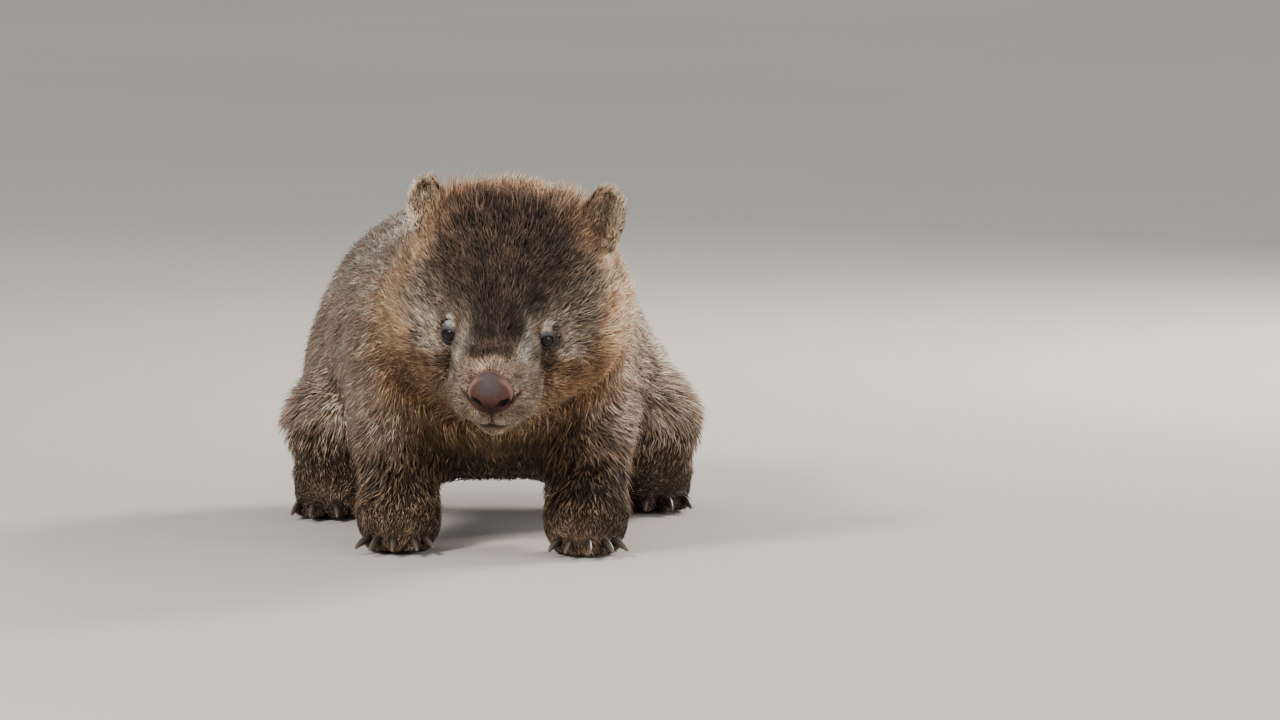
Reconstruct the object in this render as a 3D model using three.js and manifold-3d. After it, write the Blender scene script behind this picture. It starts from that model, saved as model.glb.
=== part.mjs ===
// A standing bare-nosed wombat, life size: head lowered and turned a little, all four feet on the ground.
// Millimetres, +Z up. The animal faces -Y and its left side is +X; the ground is at Z = 0.
import * as THREE from "three";
import { mergeVertices } from "three/addons/utils/BufferGeometryUtils.js";
import Module from "manifold-3d";

const wasm = await Module();
wasm.setup();

const GAP = 0.3; // left open between one node and the next
const DEGREE = Math.PI / 180;
const CLAW = { thick: 8 };
const RIGHT = -1;
const LEFT = 1;
const SIDES = [
  ["right", RIGHT],
  ["left", LEFT],
];

// Driving dimensions, out to the tips of the coat
const BODY = {
  shoulderTop: 304,
  backTop: 300,
  rumpTop: 296,
  bellyLow: 52,
  chestHalf: 112,
  barrelHalf: 146,
  haunchHalf: 178,
  sway: -6,
  chestFront: -256,
  rumpBack: 390,
};
const HEAD = {
  centre: [15, -292, 232],
  pitch: 30,
  yaw: -7.4,
  roll: 3.4,
  skullHalf: 95,
  skullLong: 80,
  skullHigh: 95,
  cheekHalf: 105,
  ruffHalf: 103,
  muzzleHalf: 41,
  muzzleOut: 132,
};
const EYE = { side: 44.5, up: 7, radius: 9.5, sunk: 5, lid: 3 };
const NOSE = { half: 20.5, tall: 46, up: -13, bulge: 9, tilt: 16, nostril: 8.5 };
const EAR = {
  side: 68,
  shift: 4,
  back: 32,
  up: 47,
  tall: 54,
  half: 21,
  thick: 8,
  cup: 12,
  lean: 15,
  tilt: -26,
  turn: 22,
};
const FORELEG = { side: 86, upper: [-4, -158, 120], lower: [0, -222, 42], stride: 12, sway: 0 };
const HINDLEG = { side: 140, upper: [2, 118, 84], lower: [8, 206, 36], stride: 32, sway: -5 };
const FOREPAW = { toes: 5, spread: 62, palm: 26, reach: 50, toe: 11, height: 11, claw: 26 };
const HINDPAW = { toes: 4, spread: 40, palm: 44, reach: 76, toe: 10, height: 10, claw: 19 };
const LOCK = { long: 84, wide: 46, thick: 5, lift: 5, sunk: 5, depth: 5 };
const TAIL = { from: [0, 372, 168], to: [0, 404, 150], root: 15, tip: 10 };

const v3 = (x, y, z) => new THREE.Vector3(x, y, z);

// Fields: each gives about the distance from a point to a form, negative inside it

// An egg with its own three radii, turned about its centre
function egg(centre, radii, turn = new THREE.Euler()) {
  const back = new THREE.Quaternion().setFromEuler(turn).invert();
  const [a, b, c] = radii;
  const q = v3(0, 0, 0);
  return (p) => {
    q.copy(p).sub(centre).applyQuaternion(back);
    const near = Math.hypot(q.x / a, q.y / b, q.z / c);
    const slope = Math.hypot(q.x / a ** 2, q.y / b ** 2, q.z / c ** 2);
    return slope < 1e-9 ? -Math.min(a, b, c) : (near * (near - 1)) / slope;
  };
}

// A rod with round ends, thicker at one end than at the other
function limb(from, to, fromRadius, toRadius) {
  const along = to.clone().sub(from);
  const q = v3(0, 0, 0);
  return (p) => {
    const t = THREE.MathUtils.clamp(q.copy(p).sub(from).dot(along) / along.lengthSq(), 0, 1);
    const radius = THREE.MathUtils.lerp(fromRadius, toRadius, t);
    return q.copy(from).addScaledVector(along, t).distanceTo(p) - radius;
  };
}

// The union of some fields, melted together over the width given
const melt =
  (width, ...fields) =>
  (p) =>
    fields.reduce((low, field) => {
      const d = field(p);
      const share = Math.max(width - Math.abs(low - d), 0) / width;
      return Math.min(low, d) - (share * share * width) / 4;
    }, 1e6);

// The trunk: barrel, chest, withers, rump, and the masses of shoulder and haunch on both sides
const middle = (BODY.backTop + BODY.bellyLow) / 2;
const haunchOut = BODY.haunchHalf - 80;
const trunk = melt(
  46,
  egg(v3(-12, 50, middle), [BODY.barrelHalf, 262, BODY.backTop - middle]),
  egg(v3(-21, BODY.rumpBack - 190, 174), [BODY.barrelHalf, 190, BODY.rumpTop - 174]),
  egg(v3(0, BODY.chestFront + 132, 172), [BODY.chestHalf, 132, 122]),
  egg(v3(0, -95, 212), [102, 150, BODY.shoulderTop - 212]),
  ...SIDES.map(([, side]) => egg(v3(74 * side, -142, 146), [52, 86, 102])),
  ...SIDES.map(([, side]) => egg(v3(haunchOut * side + BODY.sway, 176, 114 - 6 * side), [80, 126, 76])),
);

// Legs: the stride moves a foot forward on one side and back on the other
const strideOf = (leg, side, ahead) => v3(0, -leg.stride * (side === ahead ? 1 : -1), 0);

function jointsOf(leg, side, ahead) {
  const shift = strideOf(leg, side, ahead);
  const place = ([x, y, z], share) =>
    v3((leg.side + x) * side + leg.sway, y, z).addScaledVector(shift, share);
  return { upper: place(leg.upper, 0.5), lower: place(leg.lower, 1) };
}

// The toes of a paw fan out from its middle; each has its root, its tip and the way it points
function toesOf(paw, centre, side) {
  return Array.from({ length: paw.toes }, (_, n) => {
    const share = n / (paw.toes - 1) - 0.5;
    const angle = (share * paw.spread + 4) * DEGREE * side;
    const way = v3(Math.sin(angle), -Math.cos(angle), 0);
    const reach = paw.reach - 15 * share * share * 4 + (n === 1 || n === 2 ? 3 : 0);
    const root = v3(centre.x, centre.y, paw.height).addScaledVector(way, paw.palm * 0.55);
    const tip = v3(centre.x, centre.y, paw.height).addScaledVector(way, reach - paw.toe);
    root.x += share * 26 * side;
    tip.x += share * 12 * side;
    return { way, root, tip };
  });
}

function foreleg(side) {
  const { upper: elbow, lower: wrist } = jointsOf(FORELEG, side, LEFT);
  const palm = wrist.clone().add(v3(-2 * side, -20, -22));
  const toes = toesOf(FOREPAW, palm, side);
  const flesh = melt(22, limb(elbow, wrist, 47, 39), egg(palm, [36, 40, 27]));
  return { upper: elbow, lower: wrist, palm, toes, flesh };
}

function hindleg(side) {
  const { upper: knee, lower: heel } = jointsOf(HINDLEG, side, RIGHT);
  const palm = heel.clone().add(v3(2 * side, -50, -18));
  const toes = toesOf(HINDPAW, palm, side);
  const flesh = melt(26, limb(knee, heel, 52, 34), egg(palm, [33, 62, 24]), limb(knee, palm, 50, 27));
  return { upper: knee, lower: heel, palm, toes, flesh };
}

const forelegs = new Map(SIDES.map(([, side]) => [side, foreleg(side)]));
const hindlegs = new Map(SIDES.map(([, side]) => [side, hindleg(side)]));

// The head, in its own frame: x to the animal's left, -y along the muzzle, z up from the palate
const headTurn = new THREE.Euler(HEAD.pitch * DEGREE, HEAD.roll * DEGREE, HEAD.yaw * DEGREE, "ZXY");
const headPlace = new THREE.Matrix4().compose(
  v3(...HEAD.centre),
  new THREE.Quaternion().setFromEuler(headTurn),
  v3(1, 1, 1),
);
const toHead = headPlace.clone().invert();

const skull = melt(
  26,
  egg(v3(0, 20, 9), [HEAD.skullHalf, HEAD.skullLong, HEAD.skullHigh]),
  ...SIDES.map(([, side]) => egg(v3((HEAD.cheekHalf - 48) * side, 6, -25), [48, 64, 60])),
  egg(v3(0, -26, -52), [60, 72, 40]),
  egg(v3(4, 48, -28), [HEAD.ruffHalf, 60, 92]),
);
const muzzle = melt(
  12,
  egg(v3(0, -60, -2), [43, 72, 42]),
  egg(v3(0, -44, 16), [40, 48, 47]),
  ...SIDES.map(([, side]) => egg(v3(42 * side, -42, -30), [32, 42, 34])),
  egg(v3(0, 36 - HEAD.muzzleOut, -24), [HEAD.muzzleHalf, 36, 35]),
  ...SIDES.map(([, side]) => egg(v3((HEAD.muzzleHalf - 23) * side, -103, -30), [22, 27, 21])),
  egg(v3(0, -88, -57), [20, 32, 19]),
);
const headFlesh = melt(23, skull, muzzle);

const neckFlesh = egg(v3(6, -205, 208), [104, 100, 106]);
const core = melt(40, trunk, neckFlesh);
const inHead = (p) => p.clone().applyMatrix4(toHead);
const upper = melt(40, core, (p) => headFlesh(inHead(p)));
const legsFlesh = (p) =>
  Math.min(...SIDES.flatMap(([, side]) => [forelegs.get(side).flesh(p), hindlegs.get(side).flesh(p)]));
const whole = melt(24, upper, legsFlesh);

// A paw with its toes, melted to the leg above it
const pawFlesh = (leg, paw) =>
  melt(7, whole, ...leg.toes.map(({ root, tip }) => limb(root, tip, paw.toe * 1.15, paw.toe)));

// The lines of a grid along one axis, from stretches that each have a start and a spacing
const linesOf = (stretches) =>
  stretches.flatMap(([from, spacing], n) => {
    if (n === stretches.length - 1) return [from];
    const length = stretches[n + 1][0] - from;
    const count = Math.max(1, Math.round(length / spacing));
    return Array.from({ length: count }, (_, i) => from + (length * i) / count);
  });

// From a field to a closed mesh: one point in each cell that the surface passes through, drawn onto
// the surface, and one four-sided face round each edge of the grid that it crosses
function skinOf(field, stretches, grow = 0) {
  const lines = stretches.map(linesOf);
  const [nx, ny, nz] = lines.map((line) => line.length);
  const at = (axis, i) => lines[axis][i];
  const index = (i, j, k) => (k * ny + j) * nx + i;
  const value = new Float64Array(nx * ny * nz);
  for (let k = 0; k < nz; k++)
    for (let j = 0; j < ny; j++)
      for (let i = 0; i < nx; i++) {
        const rim = i === 0 || j === 0 || k === 0 || i === nx - 1 || j === ny - 1 || k === nz - 1;
        value[index(i, j, k)] = rim ? 1 : field(v3(at(0, i), at(1, j), at(2, k))) || 1e-6;
      }
  while (pinches(value, lines, index));
  const vertex = new Map();
  const points = [];
  for (let k = 0; k < nz - 1; k++)
    for (let j = 0; j < ny - 1; j++)
      for (let i = 0; i < nx - 1; i++) {
        const sum = v3(0, 0, 0);
        let crossings = 0;
        for (let axis = 0; axis < 3; axis++)
          for (let a = 0; a < 2; a++)
            for (let b = 0; b < 2; b++) {
              const from = [i, j, k];
              from[(axis + 1) % 3] += a;
              from[(axis + 2) % 3] += b;
              const to = [...from];
              to[axis] += 1;
              const f = value[index(...from)];
              const g = value[index(...to)];
              if (f < 0 === g < 0) continue;
              const t = f / (f - g);
              const p = [0, 1, 2].map((n) => at(n, from[n]) + (at(n, to[n]) - at(n, from[n])) * t);
              sum.add(v3(...p));
              crossings++;
            }
        if (!crossings) continue;
        vertex.set(index(i, j, k), points.length);
        points.push(sum.divideScalar(crossings));
      }
  const faces = [];
  for (let axis = 0; axis < 3; axis++) {
    const first = [1, 1, 1];
    first[axis] = 0;
    for (let k = first[2]; k < nz - 1; k++)
      for (let j = first[1]; j < ny - 1; j++)
        for (let i = first[0]; i < nx - 1; i++) {
          const to = [i, j, k];
          to[axis] += 1;
          const inside = value[index(i, j, k)] < 0;
          if (inside === value[index(...to)] < 0) continue;
          const corners = [
            [0, 0],
            [1, 0],
            [1, 1],
            [0, 1],
          ].map(([a, b]) => {
            const cell = [i, j, k];
            cell[(axis + 1) % 3] -= a;
            cell[(axis + 2) % 3] -= b;
            return vertex.get(index(...cell));
          });
          faces.push(inside ? corners.reverse() : corners);
        }
  }
  relax(points, faces, field);
  if (grow) for (const p of points) p.addScaledVector(slopeOf(field, p).normalize(), grow);
  const tidy = [];
  for (const [a, b, c, d] of faces) {
    const across = points[a].distanceTo(points[c]) < points[b].distanceTo(points[d]);
    tidy.push(...(across ? [a, b, c, a, c, d] : [a, b, d, b, c, d]));
  }
  return solid(points, tidy);
}

// Where the inside corners of a square of the grid lie on one diagonal, the mesh would touch itself:
// this fills such squares, and says whether it found any
function pinches(value, lines, index) {
  const [nx, ny, nz] = lines.map((line) => line.length);
  let found = false;
  for (let axis = 0; axis < 3; axis++)
    for (let k = 1; k < nz - 2; k++)
      for (let j = 1; j < ny - 2; j++)
        for (let i = 1; i < nx - 2; i++) {
          const square = [
            [0, 0],
            [1, 0],
            [1, 1],
            [0, 1],
          ].map(([a, b]) => {
            const corner = [i, j, k];
            corner[(axis + 1) % 3] += a;
            corner[(axis + 2) % 3] += b;
            return index(...corner);
          });
          const inside = square.map((corner) => value[corner] < 0);
          if (inside[0] !== inside[2] || inside[1] !== inside[3] || inside[0] === inside[1]) continue;
          value[square[inside[0] ? 1 : 0]] = -0.01;
          found = true;
        }
  return found;
}

// Evens out a mesh and draws each point back onto the field's surface
function relax(points, faces, field, rounds = 3) {
  const neighbours = points.map(() => new Set());
  for (const face of faces)
    face.forEach((a, n) => {
      const b = face[(n + 1) % face.length];
      neighbours[a].add(b);
      neighbours[b].add(a);
    });
  for (let round = 0; round < rounds; round++) {
    const moved = points.map((p, n) => {
      const middle = v3(0, 0, 0);
      for (const other of neighbours[n]) middle.add(points[other]);
      middle.divideScalar(neighbours[n].size);
      return onSurface(p.clone().lerp(middle, 0.5), field);
    });
    moved.forEach((p, n) => points[n].copy(p));
  }
}

function slopeOf(field, p) {
  const e = 0.2;
  const by = (step) => field(p.clone().add(step)) - field(p.clone().sub(step));
  return v3(by(v3(e, 0, 0)), by(v3(0, e, 0)), by(v3(0, 0, e))).divideScalar(2 * e);
}

function onSurface(p, field, steps = 2) {
  const q = p.clone();
  for (let n = 0; n < steps; n++) {
    const slope = slopeOf(field, q);
    q.addScaledVector(slope, -THREE.MathUtils.clamp(field(q) / Math.max(slope.lengthSq(), 0.05), -6, 6));
  }
  return q;
}

// Where a ray first meets a field's surface, coming from outside
function firstHit(field, from, way) {
  const p = from.clone();
  for (let n = 0; n < 60; n++) p.addScaledVector(way, field(p) * 0.8);
  return p;
}

// Solids for joining and cutting
function solid(points, triangles) {
  const make = (order) =>
    new wasm.Manifold(
      new wasm.Mesh({
        numProp: 3,
        vertProperties: new Float32Array(points.flatMap((p) => [p.x, p.y, p.z])),
        triVerts: new Uint32Array(order),
      }),
    );
  const made = make(triangles);
  return made.volume() > 0 ? made : make(triangles.toReversed());
}

// A closed body through rings of points, with a point in the middle of each end
function loft(rings) {
  const around = rings[0].length;
  const middle = (ring) => ring.reduce((sum, p) => sum.add(p), v3(0, 0, 0)).divideScalar(around);
  const points = [...rings.flat(), middle(rings[0]), middle(rings.at(-1))];
  const [tail, tip] = [points.length - 2, points.length - 1];
  const last = (rings.length - 1) * around;
  const triangles = [];
  for (let n = 0; n < around; n++) {
    const next = (n + 1) % around;
    triangles.push(tail, next, n, tip, last + n, last + next);
    for (let r = 0; r < rings.length - 1; r++) {
      const [here, there] = [r * around, (r + 1) * around];
      triangles.push(here + n, here + next, there + next, here + n, there + next, there + n);
    }
  }
  return solid(points, triangles);
}

// A three.js geometry, placed by a matrix, as a solid
function fromGeometry(geometry, matrix = new THREE.Matrix4()) {
  const bare = geometry.clone().applyMatrix4(matrix);
  bare.deleteAttribute("normal");
  bare.deleteAttribute("uv");
  const merged = mergeVertices(bare, 1e-4);
  const place = merged.attributes.position;
  const points = Array.from({ length: place.count }, (_, n) => v3(0, 0, 0).fromBufferAttribute(place, n));
  return solid(points, Array.from(merged.index.array));
}

function ball(centre, radii, grow = 0, turn = new THREE.Euler(), segments = [14, 8]) {
  const size = v3(radii[0] + grow, radii[1] + grow, radii[2] + grow);
  const matrix = new THREE.Matrix4().compose(centre, new THREE.Quaternion().setFromEuler(turn), size);
  return fromGeometry(new THREE.SphereGeometry(1, ...segments), matrix);
}

// Everything on the side of a plane that its normal points to, from the given distance on
function beyond(point, normal, from = 0) {
  const size = 1600;
  const towards = normal.clone().normalize();
  const turn = new THREE.Quaternion().setFromUnitVectors(v3(0, 0, 1), towards);
  const place = point.clone().addScaledVector(towards, size / 2 + from);
  const matrix = new THREE.Matrix4().compose(place, turn, v3(1, 1, 1));
  return fromGeometry(new THREE.BoxGeometry(size, size, size), matrix);
}

// Draws together corners that a cut left almost on each other, and drops the slivers between them
function tidied(made) {
  const { vertProperties, triVerts } = made.getMesh();
  const points = Array.from({ length: vertProperties.length / 3 }, (_, n) =>
    v3(0, 0, 0).fromArray(vertProperties, 3 * n),
  );
  const kept = points.map((_, n) => n);
  const last = (n) => (kept[n] === n ? n : last(kept[n]));
  for (let n = 0; n < triVerts.length; n++) {
    const [a, b] = [triVerts[n], triVerts[n % 3 === 2 ? n - 2 : n + 1]].map(last);
    if (a !== b && points[a].distanceTo(points[b]) < 0.001) kept[b] = a;
  }
  const triangles = [];
  for (let n = 0; n < triVerts.length; n += 3) {
    const corners = [0, 1, 2].map((k) => last(triVerts[n + k]));
    if (new Set(corners).size === 3) triangles.push(...corners);
  }
  return solid(points, triangles);
}

const largest = (made) => made.decompose().reduce((a, b) => (b.volume() > a.volume() ? b : a));

// Regions of the nodes
const ground = beyond(v3(0, 0, 0), v3(0, 0, 1));
const nape = { point: v3(15, -228, 254), normal: v3(-0.08, -0.93, 0.36) };
const collar = { point: v3(0, -170, 180), normal: v3(0, -1, 0.35) };
const armRegion = (side, grow) => ball(v3(114 * side, -184, 70), [78, 130, 134], grow);
const thighRegion = (side, grow) => {
  const shift = strideOf(HINDLEG, side, RIGHT).y * 0.5;
  return ball(v3(142 * side - 6, 165 + shift, 84), [92, 150, 130], grow);
};
const pawPlane = (leg, lift) => ({ point: leg.lower.clone().add(v3(0, 0, lift)), normal: v3(0, 0.1, 1) });

const pawRegion = (leg) => ball(leg.palm.clone().setZ(0), [56, 122, 70]);

const above = ({ point, normal }) => beyond(point, normal, GAP / 2);
const below = ({ point, normal }) => beyond(point, normal.clone().negate(), GAP / 2);

// Each node's solid, whether it is drawn in the head's frame, and its colour
const solids = new Map();
const put = (name, made, colour, local = false) =>
  solids.set(name, { made: tidied(largest(made)), colour, local });

// The grids that the body and, finer about the face, the head are drawn on
const BODY_GRID = [
  [[-240, 26], [240]],
  [[-340, 24], [-120, 31], [60, 26], [300, 31], [440]],
  [[-16, 19], [130, 28], [360]],
];
const HEAD_GRID = [
  [[-135, 18], [-56, 10.5], [56, 18], [135]],
  [[-150, 10], [-52, 14], [-20, 18], [120]],
  [[-125, 18], [-84, 10.5], [24, 18], [125]],
];
const headField = (p) => upper(p.clone().applyMatrix4(headPlace));

// The same run of draws every time
function drawFrom(seed) {
  let state = seed;
  return (low, high) => {
    state = (state * 1664525 + 1013904223) % 4294967296;
    return low + ((high - low) * state) / 4294967296;
  };
}

// A lock of the bristly coat: a flat tapered blade that leaves the skin at its sunk root, bends along
// the lie over the locks behind it, and ends free
function lock(field, root, lie, size, draw) {
  const p = onSurface(root, field, 4);
  const stages = [
    [0, -LOCK.sunk, 0.85, 1],
    [0.34, LOCK.lift * 0.35, 1, 1],
    [0.72, LOCK.lift, 0.7, 0.8],
    [1, LOCK.lift * 0.8, 0.1, 0.3],
  ];
  const long = LOCK.long * size * draw(0.85, 1.15);
  const bend = draw(-0.35, 0.35);
  const rings = stages.map(([t, height, wide, thick], n) => {
    const out = slopeOf(field, p).normalize();
    const along = lie(p).projectOnPlane(out).normalize();
    const across = out.clone().cross(along);
    along.addScaledVector(across, bend * t).normalize();
    const middle = p.clone().addScaledVector(out, height * size);
    const half = (LOCK.wide * size * wide) / 2;
    const deep = (LOCK.thick * size * thick) / 2;
    if (n < stages.length - 1) {
      const step = long * (stages[n + 1][0] - t);
      p.copy(onSurface(p.clone().addScaledVector(along, step), field));
    }
    return [
      [half, 0],
      [0, deep],
      [-half, 0],
      [0, -deep],
    ].map(([a, b]) => middle.clone().addScaledVector(across, a).addScaledVector(out, b));
  });
  return loft(rings);
}

// The lie of the coat: back along the body, down over the sides, the rump and the chest
function bodyLie(p) {
  const side = THREE.MathUtils.smoothstep(Math.abs(p.x), 60, 150);
  const rear = THREE.MathUtils.smoothstep(p.y, 230, 370);
  const front = THREE.MathUtils.smoothstep(-p.y, 190, 260);
  return v3(0, 1 - 1.1 * front, -0.08 - 0.75 * side - 1.6 * rear - 0.9 * front);
}

// On the head it runs out from the bridge of the nose
const headLie = (p) => p.clone().sub(v3(0, -96, 0));

// The core that the locks stand on: the outline drawn in by the coat's depth, above the feet and
// behind the nape
function bodyCore(p) {
  const behind = -p.clone().sub(nape.point).dot(nape.normal);
  const share = THREE.MathUtils.smoothstep(p.z, 60, 120) * THREE.MathUtils.smoothstep(behind, 10, 70);
  return whole(p) + LOCK.depth * share;
}

// Locks in rings round the body, each set off by half a space from the ring before
function bodyLocks() {
  const draw = drawFrom(7);
  const made = [];
  for (let row = 0; row < 7; row++)
    for (let n = 0; n < 8; n++) {
      const y = -150 + row * 74 + draw(-8, 8);
      const angle = ((n - 3.75 + (row % 2) * 0.5) * 30 + draw(-4, 4)) * DEGREE;
      const way = v3(Math.sin(angle), 0, Math.cos(angle));
      const start = v3(-8, y, 165).addScaledVector(way, 420);
      const root = firstHit(bodyCore, start, way.negate());
      if (root.z < 84) continue;
      made.push(lock(bodyCore, root, bodyLie, draw(0.9, 1.15), draw));
    }
  return made;
}

// Locks in rings round the face: forehead and cheeks, then the ruff and the crown
function headLocks() {
  const draw = drawFrom(11);
  const made = [];
  const rings = [
    { out: 60, from: -10, to: 190, count: 9 },
    { out: 80, from: -42, to: 222, count: 14 },
    { out: 98, from: 62, to: 118, count: 3 },
  ];
  for (const { out, from, to, count } of rings)
    for (let n = 0; n < count; n++) {
      const round = (from + ((to - from) * (n + 0.5)) / count + draw(-3, 3)) * DEGREE;
      const tilt = out * DEGREE;
      const way = v3(Math.sin(tilt) * Math.cos(round), -Math.cos(tilt), Math.sin(tilt) * Math.sin(round));
      const start = v3(0, 10, 0).addScaledVector(way, 300);
      const root = firstHit(headField, start, way.negate());
      const ears = SIDES.map(([, side]) => root.distanceTo(v3(EAR.side * side, EAR.back, EAR.up + 20)));
      if (Math.min(...ears) < 58) continue;
      made.push(lock(headField, root, headLie, draw(0.55, 0.7), draw));
    }
  return made;
}

const joined = (made, locks) => locks.reduce((sum, one) => sum.add(one), made);
const body = joined(skinOf(bodyCore, BODY_GRID), bodyLocks()).intersect(below(nape));

function makeTorso() {
  let made = body.intersect(below(collar)).intersect(beyond(v3(0, 0, 40), v3(0, 0, 1)));
  for (const [, side] of SIDES) made = made.subtract(armRegion(side, GAP * 1.3));
  for (const [, side] of SIDES) made = made.subtract(thighRegion(side, GAP * 1.3));
  return made;
}

function makeNeck() {
  let made = body.intersect(above(collar));
  for (const [, side] of SIDES) made = made.subtract(armRegion(side, GAP * 1.3));
  return made;
}

// The head: flesh, then sockets, lids, the nose's seat, the mouth and the seats of the ears
function makeHead() {
  let made = joined(skinOf(headField, HEAD_GRID), headLocks());
  const cut = inFrameOfHead(nape);
  made = made.intersect(above(cut));
  for (const [, side] of SIDES) made = made.add(lids(side)).subtract(eyeball(side, GAP));
  made = made.subtract(nosePad(GAP)).subtract(mouthLine());
  return made;
}

const inFrameOfHead = ({ point, normal }) => ({
  point: inHead(point),
  normal: normal.clone().transformDirection(toHead),
});

// An eye sits in the surface below the brow, most of it sunk
function eyeFrame(side) {
  const start = v3(EYE.side * side, -160, EYE.up);
  const hit = firstHit(headFlesh, start, v3(0, 1, 0));
  const out = slopeOf(headFlesh, hit).normalize().add(v3(0, -0.7, 0)).normalize();
  const across = v3(0, 0, 1).cross(out).normalize();
  const matrix = new THREE.Matrix4().makeBasis(across, out.clone().cross(across), out);
  matrix.setPosition(hit.addScaledVector(out, -EYE.sunk));
  return matrix;
}

const eyeball = (side, grow = 0) =>
  fromGeometry(new THREE.SphereGeometry(EYE.radius + grow, 14, 8), eyeFrame(side));

// Two lids, each a tapered roll over the ball from one corner of the eye to the other
function lids(side) {
  const frame = eyeFrame(side);
  const lid = (opening, width) => {
    const rings = Array.from({ length: 9 }, (_, n) => {
      const t = (n / 8) * 2 - 1;
      const along = v3(t * EYE.radius * 1.02, opening * Math.sqrt(1 - t * t * 0.99), 0);
      const out = Math.sqrt(Math.max(EYE.radius ** 2 - along.x ** 2 - along.y ** 2, 4));
      const middle = v3(along.x, along.y, out);
      const outward = middle.clone().normalize();
      const edge = v3(1, 0, 0).cross(outward).normalize();
      const size = width * (0.55 + 0.45 * Math.sqrt(1 - t * t));
      return Array.from({ length: 6 }, (_, k) => {
        const angle = (k / 6) * 2 * Math.PI;
        return middle
          .clone()
          .addScaledVector(edge, (Math.cos(angle) * 1.3 + Math.sign(opening) * -0.9) * size)
          .addScaledVector(outward, Math.sin(angle) * size * 0.9 + 0.4)
          .applyMatrix4(frame);
      });
    });
    return loft(rings);
  };
  return lid(EYE.radius * 0.78, EYE.lid).add(lid(-EYE.radius * 0.74, EYE.lid * 0.8));
}

// The bare pad of the nose: a rounded diamond, its wings at half height
function nosePad(grow = 0) {
  const tilt = new THREE.Euler(-NOSE.tilt * DEGREE, 0, 0);
  const around = 20;
  const edge = (angle, size, out) => {
    const rounded = (t, power) => Math.sign(t) * Math.abs(t) ** power;
    const x = rounded(Math.cos(angle), 1.3) * NOSE.half * size;
    const z = rounded(Math.sin(angle), 1.2) * (NOSE.tall / 2) * size;
    const scale = 1 + grow / NOSE.half;
    return v3(x * scale, -out - grow, z * scale).applyEuler(tilt).add(noseSeat);
  };
  const profile = [
    [0.8, -16],
    [0.98, -3],
    [1, 0],
    [0.94, NOSE.bulge * 0.5],
    [0.74, NOSE.bulge * 0.86],
    [0.4, NOSE.bulge],
  ];
  const rings = profile.map(([size, out], n) =>
    Array.from({ length: around }, (_, k) =>
      edge((k / around) * 2 * Math.PI, size, n ? out : out - 2 * grow),
    ),
  );
  return loft(rings);
}
const noseSeat = firstHit(headFlesh, v3(0, -200, NOSE.up), v3(0, 1, 0)).add(v3(0, 4, 0));

function nostrils() {
  const hole = (side) => {
    const centre = noseSeat.clone().add(v3(11 * side, -NOSE.bulge + 1.5, -5));
    const turn = new THREE.Euler(0, 24 * DEGREE * side, 28 * DEGREE * side);
    return ball(centre, [NOSE.nostril * 0.62, NOSE.nostril, NOSE.nostril * 0.42], 0, turn, [10, 6]);
  };
  return hole(RIGHT).add(hole(LEFT));
}

// The mouth: a narrow groove from corner to corner below the lips, and one from the nose down to it
function mouthLine() {
  const onFace = (x, z) => firstHit(headFlesh, v3(x, -190, z), v3(0, 1, 0));
  const groove = (path, width, depth) => {
    const rings = path.map((p, n) => {
      const along = path[Math.min(n + 1, path.length - 1)].clone().sub(path[Math.max(n - 1, 0)]).normalize();
      const out = slopeOf(headFlesh, p).normalize();
      const over = along.clone().cross(out).normalize();
      return [
        [1, 3],
        [-1, 3],
        [0, -depth],
      ].map(([a, b]) => p.clone().addScaledVector(over, a * width).addScaledVector(out, b));
    });
    return loft(rings);
  };
  const mouth = Array.from({ length: 15 }, (_, n) => {
    const t = (n / 14) * 2 - 1;
    return onFace(t * 31, -56 + 2 * Math.cos(t * 8) + 12 * t ** 4);
  });
  const cleft = Array.from({ length: 5 }, (_, n) => onFace(0, NOSE.up - NOSE.tall / 2 + 2 - n * 5));
  return groove(mouth, 2.2, 4).add(groove(cleft, 1.6, 2.5));
}

// An ear: crescent sections up to a rounded tip, hollow in front, its root ending on the head
function ear(side) {
  const turn = new THREE.Euler(EAR.tilt * DEGREE, EAR.lean * DEGREE * side, EAR.turn * DEGREE * side, "XYZ");
  const base = v3(EAR.side * side + EAR.shift, EAR.back, EAR.up);
  const levels = 8;
  const rings = Array.from({ length: levels + 1 }, (_, n) => {
    const t = -0.28 + (1.28 * n) / levels;
    const round = Math.sqrt(Math.max(1 - Math.max(t, 0) ** 3.4, 0.03));
    const cup = EAR.cup * THREE.MathUtils.smoothstep(t, -0.05, 0.35) * round;
    const thick = EAR.thick * (t < 0 ? 1.6 : 1 - 0.65 * t);
    return Array.from({ length: 12 }, (_, k) => {
      const angle = (k / 12) * 2 * Math.PI;
      const bend = Math.cos(angle) ** 2;
      const hollow = Math.sin(angle) < 0 ? cup * 0.6 * (1 - bend) : 0;
      const y = Math.sin(angle) * thick - cup * bend + hollow;
      return v3(Math.cos(angle) * EAR.half * round, y, t * EAR.tall).applyEuler(turn).add(base);
    });
  });
  return loft(rings);
}

// A claw: a long blunt hook, deeper than wide, out of the end of its toe
function claw({ way, tip }, paw, grow = 0) {
  const across = v3(0, 0, 1).cross(way).normalize();
  const thick = CLAW.thick;
  const start = tip.clone().addScaledVector(way, paw.toe - 7);
  const rings = [0, 0.5, 1].map((t) => {
    const length = 4 + paw.claw * t;
    const middle = start.clone().addScaledVector(way, length).add(v3(0, 0, 2 + 3 * t - 9 * t * t));
    const size = thick * (1 - 0.62 * t * t) * 0.5 + grow;
    return Array.from({ length: 5 }, (_, k) => {
      const angle = (k / 5 + 0.25) * 2 * Math.PI;
      return middle
        .clone()
        .addScaledVector(across, Math.cos(angle) * size * 0.85)
        .add(v3(0, 0, Math.sin(angle) * size * 1.15));
    });
  });
  return loft(rings);
}

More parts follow.
